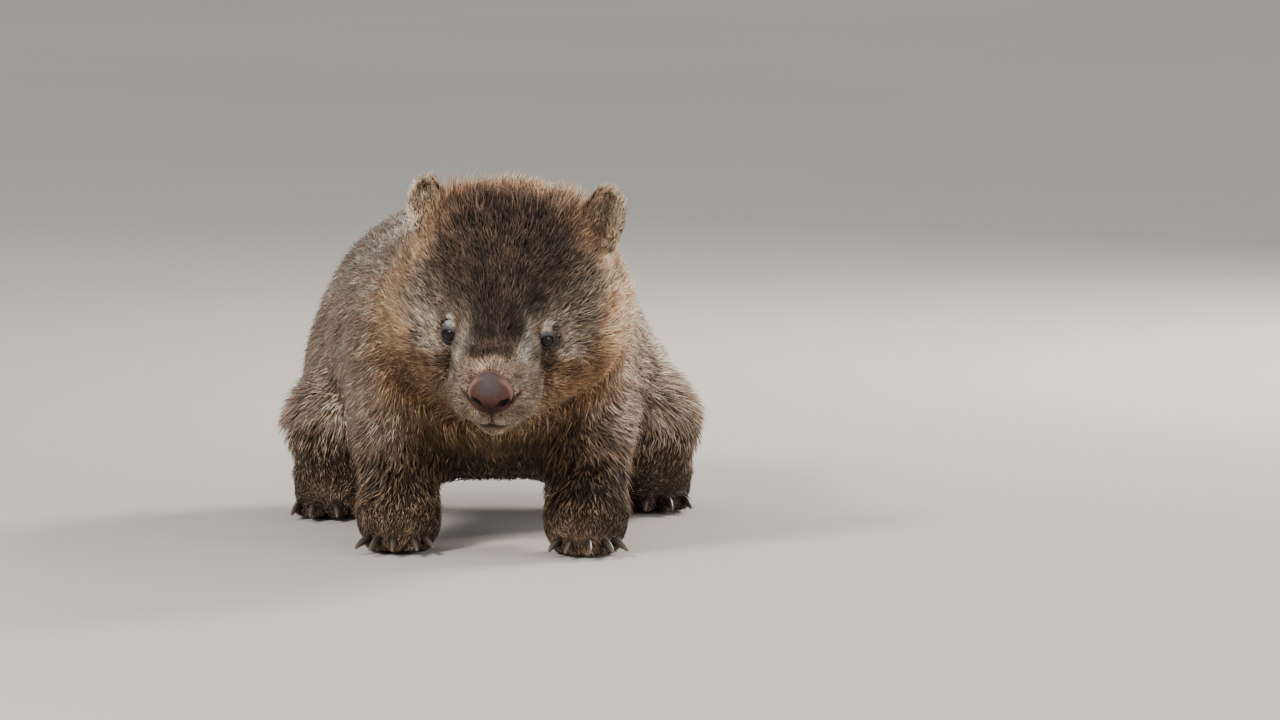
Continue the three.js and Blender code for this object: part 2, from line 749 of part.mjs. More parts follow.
const tail = skinOf(limb(v3(...TAIL.from), v3(...TAIL.to), TAIL.root, TAIL.tip), [
  [[-24, 9], [24]],
  [[350, 9], [424]],
  [[130, 9], [192]],
]);

put("torso", makeTorso(), "coat");
put("neck", makeNeck(), "coat");
put("head", makeHead(), "coat", true);
put("nose", nosePad().subtract(nostrils()), "nose", true);
put("tail", tail.subtract(skinOf(whole, BODY_GRID, GAP * 1.2)), "coat");
const headGrown = skinOf(headField, HEAD_GRID, GAP * 1.2);

for (const [name, side] of SIDES) {
  put(`eye_${name}`, eyeball(side), "eye", true);
  put(`ear_${name}`, ear(side).subtract(headGrown), "coat", true);
  const fore = forelegs.get(side);
  const hind = hindlegs.get(side);
  const wrist = pawPlane(fore, 0);
  const ankle = pawPlane(hind, -4);
  put(`foreleg_${name}`, body.intersect(armRegion(side, 0)).intersect(above(wrist)), "coat");
  put(`hindleg_${name}`, body.intersect(thighRegion(side, 0)).intersect(above(ankle)), "coat");
  const paws = [
    [`forepaw_${name}`, fore, FOREPAW, wrist, [[-330, 12], [-150]], [[-20, 12], [70]]],
    [`hindpaw_${name}`, hind, HINDPAW, ankle, [[0, 15], [290]], [[-20, 13], [70]]],
  ];
  for (const [paw, leg, sizes, plane, depth, height] of paws) {
    const middle = leg.palm.x;
    const field = pawFlesh(leg, sizes);
    let made = skinOf(field, [[[middle - 60, 12], [middle + 60]], depth, height]);
    made = made.intersect(below(plane)).intersect(ground).intersect(pawRegion(leg));
    leg.toes.forEach((toe, n) => {
      made = made.subtract(claw(toe, sizes, GAP));
      put(`${paw}_claw_${n + 1}`, claw(toe, sizes), "claw");
    });
    put(paw, made, "coat");
  }
}

// The group: every node is a mesh of its own, and those of the head share the head's frame
const COLOURS = { coat: 0x75624f, eye: 0x120d0a, nose: 0x6b4a46, claw: 0x4a4038 };
const ROUGHNESS = { coat: 0.95, eye: 0.15, nose: 0.6, claw: 0.55 };
const wombat = new THREE.Group();
const headGroup = new THREE.Group();
headGroup.applyMatrix4(headPlace);
wombat.add(headGroup);

for (const [name, { made, colour, local }] of solids) {
  const { vertProperties, triVerts } = made.getMesh();
  const geometry = new THREE.BufferGeometry();
  geometry.setAttribute("position", new THREE.BufferAttribute(vertProperties, 3));
  geometry.setIndex(new THREE.BufferAttribute(triVerts, 1));
  const material = new THREE.MeshStandardMaterial({ color: COLOURS[colour], roughness: ROUGHNESS[colour] });
  const mesh = new THREE.Mesh(geometry, material);
  mesh.name = name;
  (local ? headGroup : wombat).add(mesh);
}

// The box of the whole stands on Z = 0 with its middle at X = Y = 0
const box = new THREE.Box3().setFromObject(wombat, true);
wombat.position.set(-(box.min.x + box.max.x) / 2, -(box.min.y + box.max.y) / 2, -box.min.z);

export default wombat;
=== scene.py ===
"""A standing bare-nosed wombat: its skin, fur, face, ears and claws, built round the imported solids."""

from functools import reduce

import bpy
import numpy as np
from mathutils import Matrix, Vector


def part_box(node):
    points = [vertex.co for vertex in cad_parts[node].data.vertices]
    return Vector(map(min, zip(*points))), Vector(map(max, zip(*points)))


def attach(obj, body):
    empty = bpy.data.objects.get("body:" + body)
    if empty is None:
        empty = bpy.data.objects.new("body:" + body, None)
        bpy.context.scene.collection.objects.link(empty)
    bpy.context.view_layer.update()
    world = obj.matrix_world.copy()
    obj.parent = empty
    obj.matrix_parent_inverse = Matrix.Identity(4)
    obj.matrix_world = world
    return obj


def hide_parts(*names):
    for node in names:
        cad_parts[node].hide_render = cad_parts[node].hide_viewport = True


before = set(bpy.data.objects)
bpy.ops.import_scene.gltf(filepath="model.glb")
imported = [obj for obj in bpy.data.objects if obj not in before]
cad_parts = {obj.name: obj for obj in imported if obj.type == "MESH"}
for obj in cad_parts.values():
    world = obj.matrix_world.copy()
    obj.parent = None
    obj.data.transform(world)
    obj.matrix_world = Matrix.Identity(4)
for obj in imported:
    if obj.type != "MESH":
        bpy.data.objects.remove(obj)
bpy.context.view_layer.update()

# Forms are worked out in millimetres, in the frame that the solids were drawn in
MM = 0.001
RIGHT, LEFT = BOTH = (-1, 1)
SIDES = {"right": RIGHT, "left": LEFT}
BACKWARD, UP = np.array([0, 1, 0]), np.array([0, 0, 1])
rng = np.random.default_rng(41)

# Driving dimensions, out to the tips of the coat
SHOULDER_TOP, BACK_TOP, RUMP_TOP, BELLY_LOW = 304, 300, 296, 52
CHEST_HALF, BARREL_HALF, HAUNCH_HALF, SWAY = 112, 146, 178, -6
CHEST_FRONT, RUMP_BACK = -256, 390
HEAD_CENTRE, PITCH, YAW, ROLL = (15, -292, 232), 30, -7.4, 3.4
SKULL = (95, 80, 95)
CHEEK_HALF, RUFF_HALF, MUZZLE_HALF, MUZZLE_OUT = 105, 103, 41, 132
EYE_SIDE, EYE_UP, EYE_RADIUS, EYE_SUNK = 44.5, 7, 9.5, 5
NOSE_HALF, NOSE_TALL, NOSE_UP, NOSE_BULGE = 20.5, 46, -13, 8
EAR = dict(side=68, shift=4, back=32, up=47, tall=54, half=21, thick=8, cup=12, lean=15, tilt=-26, turn=22)
FORELEG = dict(side=86, upper=(-4, -158, 120), lower=(0, -222, 42), stride=12, sway=0)
HINDLEG = dict(side=140, upper=(2, 118, 84), lower=(8, 206, 36), stride=32, sway=-5)
FOREPAW = dict(toes=5, spread=62, palm=26, reach=50, toe=11, height=11, claw=26)
HINDPAW = dict(toes=4, spread=40, palm=44, reach=76, toe=10, height=10, claw=19)
CLAW_THICK = 8
TAIL_FROM, TAIL_TO, TAIL_ROOT, TAIL_TIP = (0, 372, 168), (0, 404, 150), 15, 10


def smooth(low, high, x):
    """0 before low, 1 past high, and 3t^2 - 2t^3 between them; low may be the greater."""
    t = np.clip((x - low) / (high - low), 0, 1)
    return t * t * (3 - 2 * t)


def mix(a, b, share):
    """a where share is 0, b where it is 1."""
    return a + (b - a) * share


def unit(v):
    """Vectors brought to length 1."""
    return v / np.maximum(np.linalg.norm(v, axis=-1, keepdims=True), 1e-9)


def turn(axis, degrees):
    """The matrix of a turn about one of the three axes."""
    c, s = np.cos(np.radians(degrees)), np.sin(np.radians(degrees))
    i, j = [(1, 2), (2, 0), (0, 1)][axis]
    matrix = np.eye(3)
    matrix[i, i] = matrix[j, j] = c
    matrix[j, i], matrix[i, j] = s, -s
    return matrix


# Fields: each gives about the distance from points to a form, negative inside it


def egg(centre, radii):
    """With k the length of (P - centre) / radii and s that of (P - centre) / radii^2, the field is
    k (k - 1) / s."""
    centre, radii = np.array(centre, float), np.array(radii, float)

    def field(points):
        q = (points - centre) / radii
        near = np.sqrt((q * q).sum(-1))
        q /= radii
        slope = np.sqrt((q * q).sum(-1))
        return np.where(near < 1e-6, -radii.min(), near * (near - 1) / np.maximum(slope, 1e-9))

    return field


def limb(start, end, start_radius, end_radius):
    """A rod with round ends: the distance to its line less a radius that runs from one end's to the
    other's."""
    start, end = np.array(start, float), np.array(end, float)
    along = end - start

    def field(points):
        t = np.clip((points - start) @ along / (along @ along), 0, 1)
        away = np.linalg.norm(points - start - t[:, None] * along, axis=-1)
        return away - mix(start_radius, end_radius, t)

    return field


def joined(a, b, width):
    """The lesser of two fields, less width / 4 times the square of how near they are: 1 where they are
    equal, 0 where they are width apart."""
    share = np.maximum(width - np.abs(a - b), 0) / width
    return np.minimum(a, b) - share * share * width / 4


def melt(width, *fields):
    """The fields joined over the same width, one after the other."""
    return lambda points: reduce(lambda a, b: joined(a, b, width), (field(points) for field in fields))


def within(axis, low, high, inner):
    """The inner field between two planes, and far away beyond them, to save work."""

    def field(points):
        value = np.full(len(points), 900.0)
        near = (points[:, axis] > low) & (points[:, axis] < high)
        value[near] = inner(points[near])
        return value

    return field


# The trunk, legs and head have the same forms as the solids
MIDDLE = (BACK_TOP + BELLY_LOW) / 2
HAUNCH_OUT = HAUNCH_HALF - 80
trunk = melt(
    46,
    egg((-12, 50, MIDDLE), (BARREL_HALF, 262, BACK_TOP - MIDDLE)),
    egg((-21, RUMP_BACK - 190, 174), (BARREL_HALF, 190, RUMP_TOP - 174)),
    egg((0, CHEST_FRONT + 132, 172), (CHEST_HALF, 132, 122)),
    egg((0, -95, 212), (102, 150, SHOULDER_TOP - 212)),
    *[egg((74 * side, -142, 146), (52, 86, 102)) for side in BOTH],
    *[egg((HAUNCH_OUT * side + SWAY, 176, 114 - 6 * side), (80, 126, 76)) for side in BOTH],
)


def joints_of(leg, side, ahead):
    """The upper and lower joint of a leg, moved along by its share of the stride."""
    stride = -leg["stride"] * (1 if side == ahead else -1)
    return [np.array([(leg["side"] + x) * side + leg["sway"], y + stride * share, z])
            for (x, y, z), share in ((leg["upper"], 0.5), (leg["lower"], 1))]


def toes_of(paw, centre, side):
    """Each toe's way, root and tip, fanned out from the middle of the paw."""
    toes = []
    for n in range(paw["toes"]):
        share = n / (paw["toes"] - 1) - 0.5
        angle = np.radians(share * paw["spread"] + 4) * side
        way = np.array([np.sin(angle), -np.cos(angle), 0])
        reach = paw["reach"] - 60 * share * share + (3 if n in (1, 2) else 0)
        middle = np.array([centre[0], centre[1], paw["height"]])
        root = middle + way * paw["palm"] * 0.55 + np.array([share * 26 * side, 0, 0])
        tip = middle + way * (reach - paw["toe"]) + np.array([share * 12 * side, 0, 0])
        toes.append((way, root, tip))
    return toes


def foreleg(side):
    """The palm, flesh and toes of a foreleg; the left one is ahead."""
    elbow, wrist = joints_of(FORELEG, side, LEFT)
    palm = wrist + (-2 * side, -20, -22)
    flesh = melt(22, limb(elbow, wrist, 47, 39), egg(palm, (36, 40, 27)))
    return dict(palm=palm, flesh=flesh, paw=FOREPAW, toes=toes_of(FOREPAW, palm, side))


def hindleg(side):
    """The same of a hind leg; the right one is ahead."""
    knee, heel = joints_of(HINDLEG, side, RIGHT)
    palm = heel + (2 * side, -50, -18)
    flesh = melt(26, limb(knee, heel, 52, 34), egg(palm, (33, 62, 24)), limb(knee, palm, 50, 27))
    return dict(palm=palm, flesh=flesh, paw=HINDPAW, toes=toes_of(HINDPAW, palm, side))


legs = {f"fore_{name}": foreleg(side) for name, side in SIDES.items()}
legs |= {f"hind_{name}": hindleg(side) for name, side in SIDES.items()}

# The head's own frame: x to the animal's left, -y along the muzzle, z up from the palate
HEAD_TURN = turn(2, YAW) @ turn(0, PITCH) @ turn(1, ROLL)


def to_head(points):
    """From the drawing's frame to the head's."""
    return (points - HEAD_CENTRE) @ HEAD_TURN


def from_head(points):
    return points @ HEAD_TURN.T + HEAD_CENTRE


skull = melt(
    26,
    egg((0, 20, 9), SKULL),
    *[egg(((CHEEK_HALF - 48) * side, 6, -25), (48, 64, 60)) for side in BOTH],
    egg((0, -26, -52), (60, 72, 40)),
    egg((4, 48, -28), (RUFF_HALF, 60, 92)),
)
muzzle = melt(
    12,
    egg((0, -60, -2), (43, 72, 42)),
    egg((0, -44, 16), (40, 48, 47)),
    *[egg((42 * side, -42, -30), (32, 42, 34)) for side in BOTH],
    egg((0, 36 - MUZZLE_OUT, -24), (MUZZLE_HALF, 36, 35)),
    *[egg(((MUZZLE_HALF - 23) * side, -103, -30), (22, 27, 21)) for side in BOTH],
    egg((0, -88, -57), (20, 32, 19)),
)
head_flesh = melt(23, skull, muzzle)
neck_flesh = egg((6, -205, 208), (104, 100, 106))
core = melt(40, within(1, -400, 500, trunk), within(1, -420, 40, neck_flesh))
upper = melt(40, core, within(1, -500, -100, lambda p: head_flesh(to_head(p))))
tail = limb(TAIL_FROM, TAIL_TO, TAIL_ROOT, TAIL_TIP)


def legs_flesh(points):
    return np.minimum.reduce([leg["flesh"](points) for leg in legs.values()])


outline = melt(24, upper, within(2, -60, 230, legs_flesh), within(1, 330, 500, tail))


def slope_of(field, points, e=0.3):
    """The field's slope, from steps of e to both sides along each axis."""
    steps = np.eye(3) * e
    return np.stack([field(points + s) - field(points - s) for s in steps], -1) / (2 * e)


def first_hit(field, start, way):
    """Where rays first meet a surface: 60 steps along the way, each 0.8 of the field."""
    p = np.atleast_2d(np.array(start, float))
    for _ in range(60):
        p = p + way * (field(p) * 0.8)[:, None]
    return p


def eye_frame(side):
    """The middle of an eyeball and its axes (across, up, and the way it looks), in the head's frame."""
    hit = first_hit(head_flesh, (EYE_SIDE * side, -160, EYE_UP), BACKWARD)
    out = unit(unit(slope_of(head_flesh, hit))[0] + (0, -0.7, 0))
    centre = hit[0] - out * EYE_SUNK
    gaze = unit(out + (0, -0.45, 0.12))
    across = unit(np.cross((0, 0, 1), gaze))
    return centre, np.stack([across, np.cross(gaze, across), gaze])


eyes = {name: eye_frame(side) for name, side in SIDES.items()}

# The solids were moved to stand on the floor, middled; the eyes tell by how much
boxes = [np.array(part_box(f"eye_{name}")) / MM for name in SIDES]
MOVED = np.mean([box.mean(0) for box in boxes], 0) - from_head(
    np.mean([eyes[name][0] for name in SIDES], 0)
)
MOVED[2] = 0

# The eyeballs sit deeper than the solids' eyes
EYE_BACK = 1.6
eyes = {name: (centre - axes[2] * EYE_BACK, axes) for name, (centre, axes) in eyes.items()}


def set_down(points):
    """From the drawing's millimetres to metres on the floor."""
    return (points + MOVED) * MM


# Depth of the coat at the end of the muzzle, and the plane where the head's coat meets the body's
SKIN_DEPTH = 2.2
NAPE, NAPE_WAY = np.array([15, -228, 254]), unit(np.array([-0.08, -0.93, 0.36]))


def past_nape(points):
    """How far points are ahead of that plane."""
    return (points - NAPE) @ NAPE_WAY


def eye_distance(h):
    """How far points of the head are from the nearer eye."""
    return np.minimum.reduce([np.linalg.norm(h - centre, axis=-1) for centre, _ in eyes.values()])


def round_eye(h):
    """Places of the head seen along the nearer eye's gaze: outward from the nose, and up."""
    away = {side: (h - eyes[name][0]) @ eyes[name][1].T for name, side in SIDES.items()}
    left = (h[:, 0] > 0)[:, None]
    near = np.where(left, away[LEFT], away[RIGHT] * (-1, 1, 1))
    near[near[:, 2] < -12] = 99
    return near[:, 0], near[:, 1]


def coat_depth(points):
    """Depth of the fur: deep over the body and crown, thin towards the nose, the eyes and the feet."""
    h = to_head(points)
    head = mix(11.5, 7.0, smooth(25, -55, h[:, 1]))
    head = mix(head, 10.0, smooth(40, 85, h[:, 2]))
    head = mix(head, 4.4, smooth(-56, -86, h[:, 1]))
    head = mix(head, SKIN_DEPTH, smooth(-94, -110, h[:, 1]))
    head = mix(head, 3.0, smooth(28, 15, eye_distance(h)))
    body = mix(3.0, 8.0, smooth(28, 60, points[:, 2]))
    body = mix(body, 12.0, smooth(60, 130, points[:, 2]))
    return mix(body, head, smooth(-30, 30, past_nape(points)))


# Creases of the muzzle, each with its radius: the line of the mouth, the cleft above it, one beside
# each nostril and one in it
MUZZLE_END = -84
SOCKET, SOCKET_FLARE = 8.6, 7
TOES_BELOW, SOLE_UP = 50, 0.8


def on_face(x, z):
    """Points of the muzzle's skin straight behind places on a plane in front of it."""
    return first_hit(lambda p: head_flesh(p) + SKIN_DEPTH, np.stack([x, 0 * x - 190, z], -1), BACKWARD)


across = np.linspace(-1, 1, 15)
down = np.linspace(0, 1, 5)
CREASES = [
    (on_face(across * 31, -56 + 2 * np.cos(across * 8) + 12 * across**4), 3.3),
    (on_face(down * 0, NOSE_UP - NOSE_TALL / 2 + 2 - down * 20), 2.0),
    *[(on_face((12 + down * 13) * side, -25 + down * 11), 2.4) for side in BOTH],
    *[(on_face((8 + down * 8) * side, NOSE_UP - 9.5 + down * 4), 5.0) for side in BOTH],
]


def crease_distance(h):
    """Distance to the creases, less the radius of each."""
    low = np.full(len(h), 50.0)
    for path, radius in CREASES:
        for a, b in zip(path, path[1:]):
            low = np.minimum(low, limb(a, b, radius, radius)(h))
    return low


def skin_field(points):
    """The outline drawn in by the depth of the coat, with toes melted on, the creases pressed in and a
    socket opened out before each eye."""
    value = outline(points) + coat_depth(points)
    low = points[:, 2] < TOES_BELOW
    rooted = value[low]
    for leg in legs.values():
        thick = leg["paw"]["toe"]
        for _, root, tip in leg["toes"]:
            rooted = joined(rooted, limb(root, tip, thick * 0.95, thick * 0.8)(points[low]), 5)
    value[low] = np.maximum(rooted, SOLE_UP - points[low][:, 2])
    h = to_head(points)
    near = (h[:, 1] < MUZZLE_END) & (np.abs(value) < 8)
    value[near] = -joined(-value[near], crease_distance(h[near]), 3)
    near = eye_distance(h) < 26
    for centre, axes in eyes.values():
        socket = limb(centre + axes[2] * 2, centre + axes[2] * 26, SOCKET, SOCKET + SOCKET_FLARE)
        value[near] = -joined(-value[near], socket(h[near]), 4)
    return value


def lines_of(*stretches):
    """Grid lines along one axis, from (start, spacing) pairs that end with the last line."""
    lines = []
    for (start, spacing), (end, _) in zip(stretches, stretches[1:]):
        lines.append(np.linspace(start, end, max(1, round((end - start) / spacing)), endpoint=False))
    return np.append(np.concatenate(lines), stretches[-1][0])


def level_surface(field, lines):
    """A closed mesh of four-sided faces: one point in each cell that the surface passes through, the
    mean of where it crosses the cell's edges, and one face round each edge that it crosses."""
    shape = [len(line) for line in lines]
    grid = np.stack(np.meshgrid(*lines, indexing="ij"), -1)
    value = field(grid.reshape(-1, 3)).reshape(shape)
    inside = value < 0
    cells = [n - 1 for n in shape]
    total = np.zeros([*cells, 3])
    count = np.zeros(cells, int)
    crossed = []
    for axis in range(3):
        near, far, start, end = [np.take(v, range(k, cells[axis] + k), axis)
                                 for v in (value, grid) for k in (0, 1)]
        cross = (near < 0) != (far < 0)
        share = np.where(cross, near / np.where(cross, near - far, 1), 0)[..., None]
        point = mix(start, end, share) * cross[..., None]
        for shifts in np.ndindex(*[1 if n == axis else 2 for n in range(3)]):
            cut = tuple(slice(shift, shift + n) for shift, n in zip(shifts, cells))
            total += point[cut]
            count += cross[cut]
        crossed.append(cross)
    used = count > 0
    points = total[used] / count[used][:, None]
    index = np.full(cells, -1)
    index[used] = np.arange(len(points))
    faces = []
    for axis in range(3):
        edge = np.argwhere(crossed[axis])
        steps = np.roll([(0, 0, 0), (0, 1, 0), (0, 1, 1), (0, 0, 1)], axis, 1)
        quad = np.stack([index[tuple((edge - step).T)] for step in steps], -1)
        flip = ~inside[tuple(edge.T)]
        quad[flip] = quad[flip][:, ::-1]
        faces.append(quad)
    return relaxed(points, np.concatenate(faces), field)


def relaxed(points, faces, field, rounds=3):
    """Each round moves points half way to the mean of their neighbours and back onto the surface."""
    ends = np.concatenate([faces[:, [k, (k + 1) % 4]] for k in range(4)])
    ends = np.concatenate([ends, ends[:, ::-1]])
    degree = np.bincount(ends[:, 0], minlength=len(points))[:, None]
    for _ in range(rounds):
        mean = [np.bincount(ends[:, 0], points[ends[:, 1], n], len(points)) for n in range(3)]
        points = mix(points, np.stack(mean, -1) / degree, 0.5)
        for _ in range(2):
            slope = slope_of(field, points)
            share = field(points) / np.maximum((slope * slope).sum(-1), 0.05)
            points = points - slope * np.clip(share, -4, 4)[:, None]
    return points, faces


# Making meshes


def put(name, data):
    """A new object in the scene."""
    made = bpy.data.objects.new(name, data)
    bpy.context.scene.collection.objects.link(made)
    return made


def new_piece(name, points, faces, material, colours, uv=None):
    """An object in metres from points in the drawing's millimetres, faces as rows of corners, and for
    each point a colour and, on the coat, its place on the map."""
    mesh = bpy.data.meshes.new(name)
    count, corners = faces.shape
    mesh.vertices.add(len(points))
    mesh.vertices.foreach_set("co", set_down(points).astype(np.float32).ravel())
    mesh.loops.add(count * corners)
    mesh.loops.foreach_set("vertex_index", faces.astype(np.int32).ravel())
    mesh.polygons.add(count)
    mesh.polygons.foreach_set("loop_start", np.arange(0, count * corners, corners, dtype=np.int32))
    mesh.polygons.foreach_set("use_smooth", np.ones(count, bool))
    mesh.update(calc_edges=True)
    layer = mesh.attributes.new("Tone", "FLOAT_COLOR", "POINT")
    full = np.concatenate([colours, np.ones((len(points), 1))], -1)
    layer.data.foreach_set("color", full.astype(np.float32).ravel())
    if uv is not None:
        layer = mesh.uv_layers.new(name="OFBake")
        layer.data.foreach_set("uv", uv[faces.ravel()].astype(np.float32).ravel())
    mesh.materials.append(material)
    piece = put(name, mesh)
    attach(piece, "root")
    return piece


def round_angles(count):
    """Angles evenly round a full turn."""
    return np.linspace(0, 2 * np.pi, count, endpoint=False)


def points_of(x, y, z):
    """A list of points from grids of their x, y and z."""
    return np.stack(np.broadcast_arrays(x, y, z), -1).reshape(-1, 3)


def grid_faces(rows, columns):
    """Triangles of a grid of points, row by row, whose columns close on themselves."""
    row = np.arange(rows - 1)[:, None]
    column = np.arange(columns)[None, :]
    after = (column + 1) % columns
    corners = [row * columns + column, row * columns + after]
    corners += [(row + 1) * columns + after, (row + 1) * columns + column]
    quads = np.stack(corners, -1).reshape(-1, 4)
    return np.concatenate([quads[:, [0, 1, 2]], quads[:, [0, 2, 3]]])


def with_middles(values, columns):
    """Values of a grid's points, followed by the means of its first and of its last row."""
    return np.concatenate([values, [values[:columns].mean(0), values[-columns:].mean(0)]])


def capped(grid, columns):
    """The points and triangles of a grid, its first and last rows drawn together to their middles."""
    column = np.arange(columns)
    after = (column + 1) % columns
    first, last = np.full(columns, len(grid)), len(grid) - columns
    ends = [np.stack([after, column, first], -1), np.stack([last + column, last + after, first + 1], -1)]
    return with_middles(grid, columns), np.concatenate([grid_faces(len(grid) // columns, columns), *ends])


def gathered(meshes):
    """One mesh from several that have the same number of points."""
    faces = [faces + n * len(points) for n, (points, faces) in enumerate(meshes)]
    return np.concatenate([points for points, _ in meshes]), np.concatenate(faces)


def tone(*srgb):
    """A colour given as 0 to 255 for each of red, green and blue, in linear light."""
    c = np.array(srgb, float) / 255
    return np.where(c <= 0.04045, c / 12.92, ((c + 0.055) / 1.055) ** 2.4)


def tones(*bands):
    """The colours of hair at its root, its middle and its tip."""
    return np.stack([tone(*srgb) for srgb in bands])[:, None]


def laid_over(colour, *layers):
    """A colour, or those of root, middle and tip, with others laid over it in turn, each by its share."""
    for other, share in layers:
        colour = mix(colour, other, share[:, None])
    return colour


LATTICE = rng.random((48, 48, 48, 3)) * 2 - 1


def noise(points, size, shift=0.0):
    """Three smooth random numbers from -1 to 1 at each point, from a lattice with the given spacing."""
    q = points / size + shift
    low = np.floor(q).astype(int)
    t = smooth(0, 1, q - low)
    value = np.zeros((len(points), 3))
    for corner in np.ndindex(2, 2, 2):
        at = (low + corner) % len(LATTICE)
        weight = np.prod(np.where(corner, t, 1 - t), -1)
        value += LATTICE[at[:, 0], at[:, 1], at[:, 2]] * weight[:, None]
    return value


# Markings, named for where on the coat their hair is; SHADE is mostly painted shade and DARK is partly
# painted shade
BODY = tones((50, 39, 32), (145, 117, 98), (230, 204, 182))
GUARD = tones((34, 26, 20), (90, 71, 58), (176, 150, 128))
SILVER = tones((52, 42, 37), (146, 125, 110), (236, 218, 200))
CROWN = tones((11, 8, 6), (32, 23, 17), (102, 82, 69))
TOP = tones((56, 34, 22), (140, 99, 70), (226, 182, 142))
CHEEK = tones((36, 28, 22), (90, 74, 60), (200, 180, 156))
RING = tones((78, 49, 29), (161, 116, 80), (235, 194, 152))
JAW = tones((30, 17, 9), (80, 52, 32), (160, 122, 86))
MUZZLE = tones((72, 57, 46), (133, 112, 94), (204, 184, 160))
BRIDGE = tones((72, 50, 43), (128, 98, 84), (176, 146, 126))
BROW = tones((60, 35, 20), (116, 79, 50), (170, 130, 92))
DARK = tones((28, 18, 11), (68, 49, 33), (128, 103, 78))
CHIN = tones((66, 49, 33), (124, 98, 70), (170, 142, 106))
FOOT = tones((36, 27, 20), (86, 68, 54), (142, 120, 100))
PALE = tones((170, 150, 134), (218, 200, 182), (244, 232, 218))
# Dark hair: laid as painted shade below and round the eyes and beside the muzzle, and as a dark patch on
# the crown
SHADE = tones((20, 15, 12), (40, 31, 26), (82, 66, 56))


def blob(x, z, centre, radii, fade=0.45):
    """1 inside an ellipse on the face, 0 outside it, soft over its edge."""
    return smooth(1 + fade, 1 - fade, np.hypot((x - centre[0]) / radii[0], (z - centre[1]) / radii[1]))


def markings(points):
    """Colours of root, middle and tip for each point of the coat, laid over each other by place."""
    h = to_head(points)
    wander, ripple = noise(points, 34, 5.2).T, noise(points, 11, 8.8).T
    x, y = np.abs(h[:, 0]) + 5 * ripple[0], h[:, 1] + 4 * ripple[1]
    wide, low = np.abs(points[:, 0] - 2), points[:, 2]
    rise = low - HEAD_CENTRE[2] + 5 * ripple[2]
    out, up = round_eye(h)
    disc = np.hypot(x / 84, (rise + 12) / 84) + 0.08 * wander[1]
    ring = np.maximum(smooth(-14, 16, y + 8 * wander[1]), smooth(0.88, 1.08, disc))
    ring = ring * smooth(84, 30, y + 10 * wander[2])
    nape = past_nape(points) + 9 * wander[0] + 5 * ripple[0]
    head = smooth(-44, 4, nape)
    muzzle = head * smooth(-74, -94, h[:, 1])
    brow = head * smooth(14, -14, y)
    silver = smooth(40, 170, points[:, 1]) * smooth(50, 150, points[:, 0]) * smooth(90, 160, low)
    inner = smooth(112, 76, wide + 8 * wander[1])
    breast = smooth(-60, -150, points[:, 1]) * smooth(100, 72, wide + 9 * wander[2])
    shoulder = smooth(-40, -110, points[:, 1]) * smooth(150, 90, low + 12 * wander[1])
    strip = smooth(15, 6, np.abs(points[:, 0] - 4)) * smooth(-170, -215, points[:, 1]) * (1 - head)
    collar = smooth(-120, -52, nape) * smooth(40, 84, wide) * smooth(110, 170, low)
    return laid_over(
        BODY,
        (GUARD, 0.5 * smooth(0.1, 0.7, wander[1])),
        (SILVER, np.maximum(0.6 * silver, 0.3 * smooth(225, 285, low))),
        (GUARD, 0.35 * smooth(140, 60, low + 16 * wander[0])),
        (GUARD, 0.9 * shoulder),
        # Darker hair low between the legs and on the lower chest: partly the coat's own colour, partly
        # painted shade under the body
        (DARK, smooth(112, 64, low + 16 * wander[1]) * inner),
        (DARK, 0.95 * breast * smooth(200, 150, low)),
        (CHIN, 0.8 * strip),
        (FOOT, 0.9 * smooth(86, 26, low + 14 * wander[0])),
        (RING, 0.35 * collar),
        (CHEEK, head * smooth(30, -8, y + 9 * wander[2])),
        (RING, 0.92 * head * ring),
        (JAW, 0.9 * head * smooth(-28, -58, rise + 5 * wander[1]) * smooth(22, 46, x)),
        (TOP, head * smooth(56, 82, rise + 8 * wander[0]) * smooth(96, 60, x) * smooth(60, 20, y)),
        (CROWN, 0.97 * head * blob(x, rise, (0, 40), (67, 57), 0.3) * smooth(50, 10, y)),
        (SHADE, 0.6 * brow * blob(h[:, 0], rise, (4, 68), (13, 16))),
        (SILVER, 0.5 * brow * blob(h[:, 0], rise, (30, 84), (14, 8))),
        (SILVER, 0.65 * head * blob(x, rise, (28, -35), (8, 14))),
        (CROWN, 0.95 * head * smooth(25, 15, x) * smooth(-56, -46, rise) * smooth(60, 20, rise)),
        (BROW, 0.8 * head * blob(out, up, (-11, 6), (6, 10))),
        (SILVER, 0.6 * head * blob(out, up, (15, -17), (13, 5.5))),
        (MUZZLE, muzzle * smooth(-44, -56, rise)),
        (BRIDGE, 0.75 * muzzle * blob(x, rise, (0, -55), (22, 8))),
        # Painted shade: at the muzzle's upper corners below the eyes, beside the muzzle and round the
        # sunken eyes
        (SHADE, 0.6 * head * blob(out, up, (-3, -24), (5, 5.5))),
        (SHADE, 0.55 * head * blob(x, rise, (42, -47), (7, 9))),
        (SHADE, 0.6 * head * blob(out, up, (0, -1), (12, 10))),
        (PALE, head * blob(out, up, (0, 10), (6, 3.7), 0.25)),
    )


# Surface materials


def material(name, roughness, specular):
    """A material with a plain shader, and its tree."""
    made = bpy.data.materials.new(name)
    made.use_nodes = True
    shader = made.node_tree.nodes["Principled BSDF"]
    shader.inputs["Roughness"].default_value = roughness
    shader.inputs["Specular IOR Level"].default_value = specular
    return made, made.node_tree, shader


def node(tree, kind, inputs=None, **settings):
    """A new node with its settings, and with values or links for its inputs."""
    made = tree.nodes.new(kind)
    for key, value in settings.items():
        setattr(made, key, value)
    for key, value in (inputs or {}).items():
        if isinstance(value, bpy.types.NodeSocket):
            tree.links.new(value, made.inputs[key])
        else:
            made.inputs[key].default_value = value
    return made


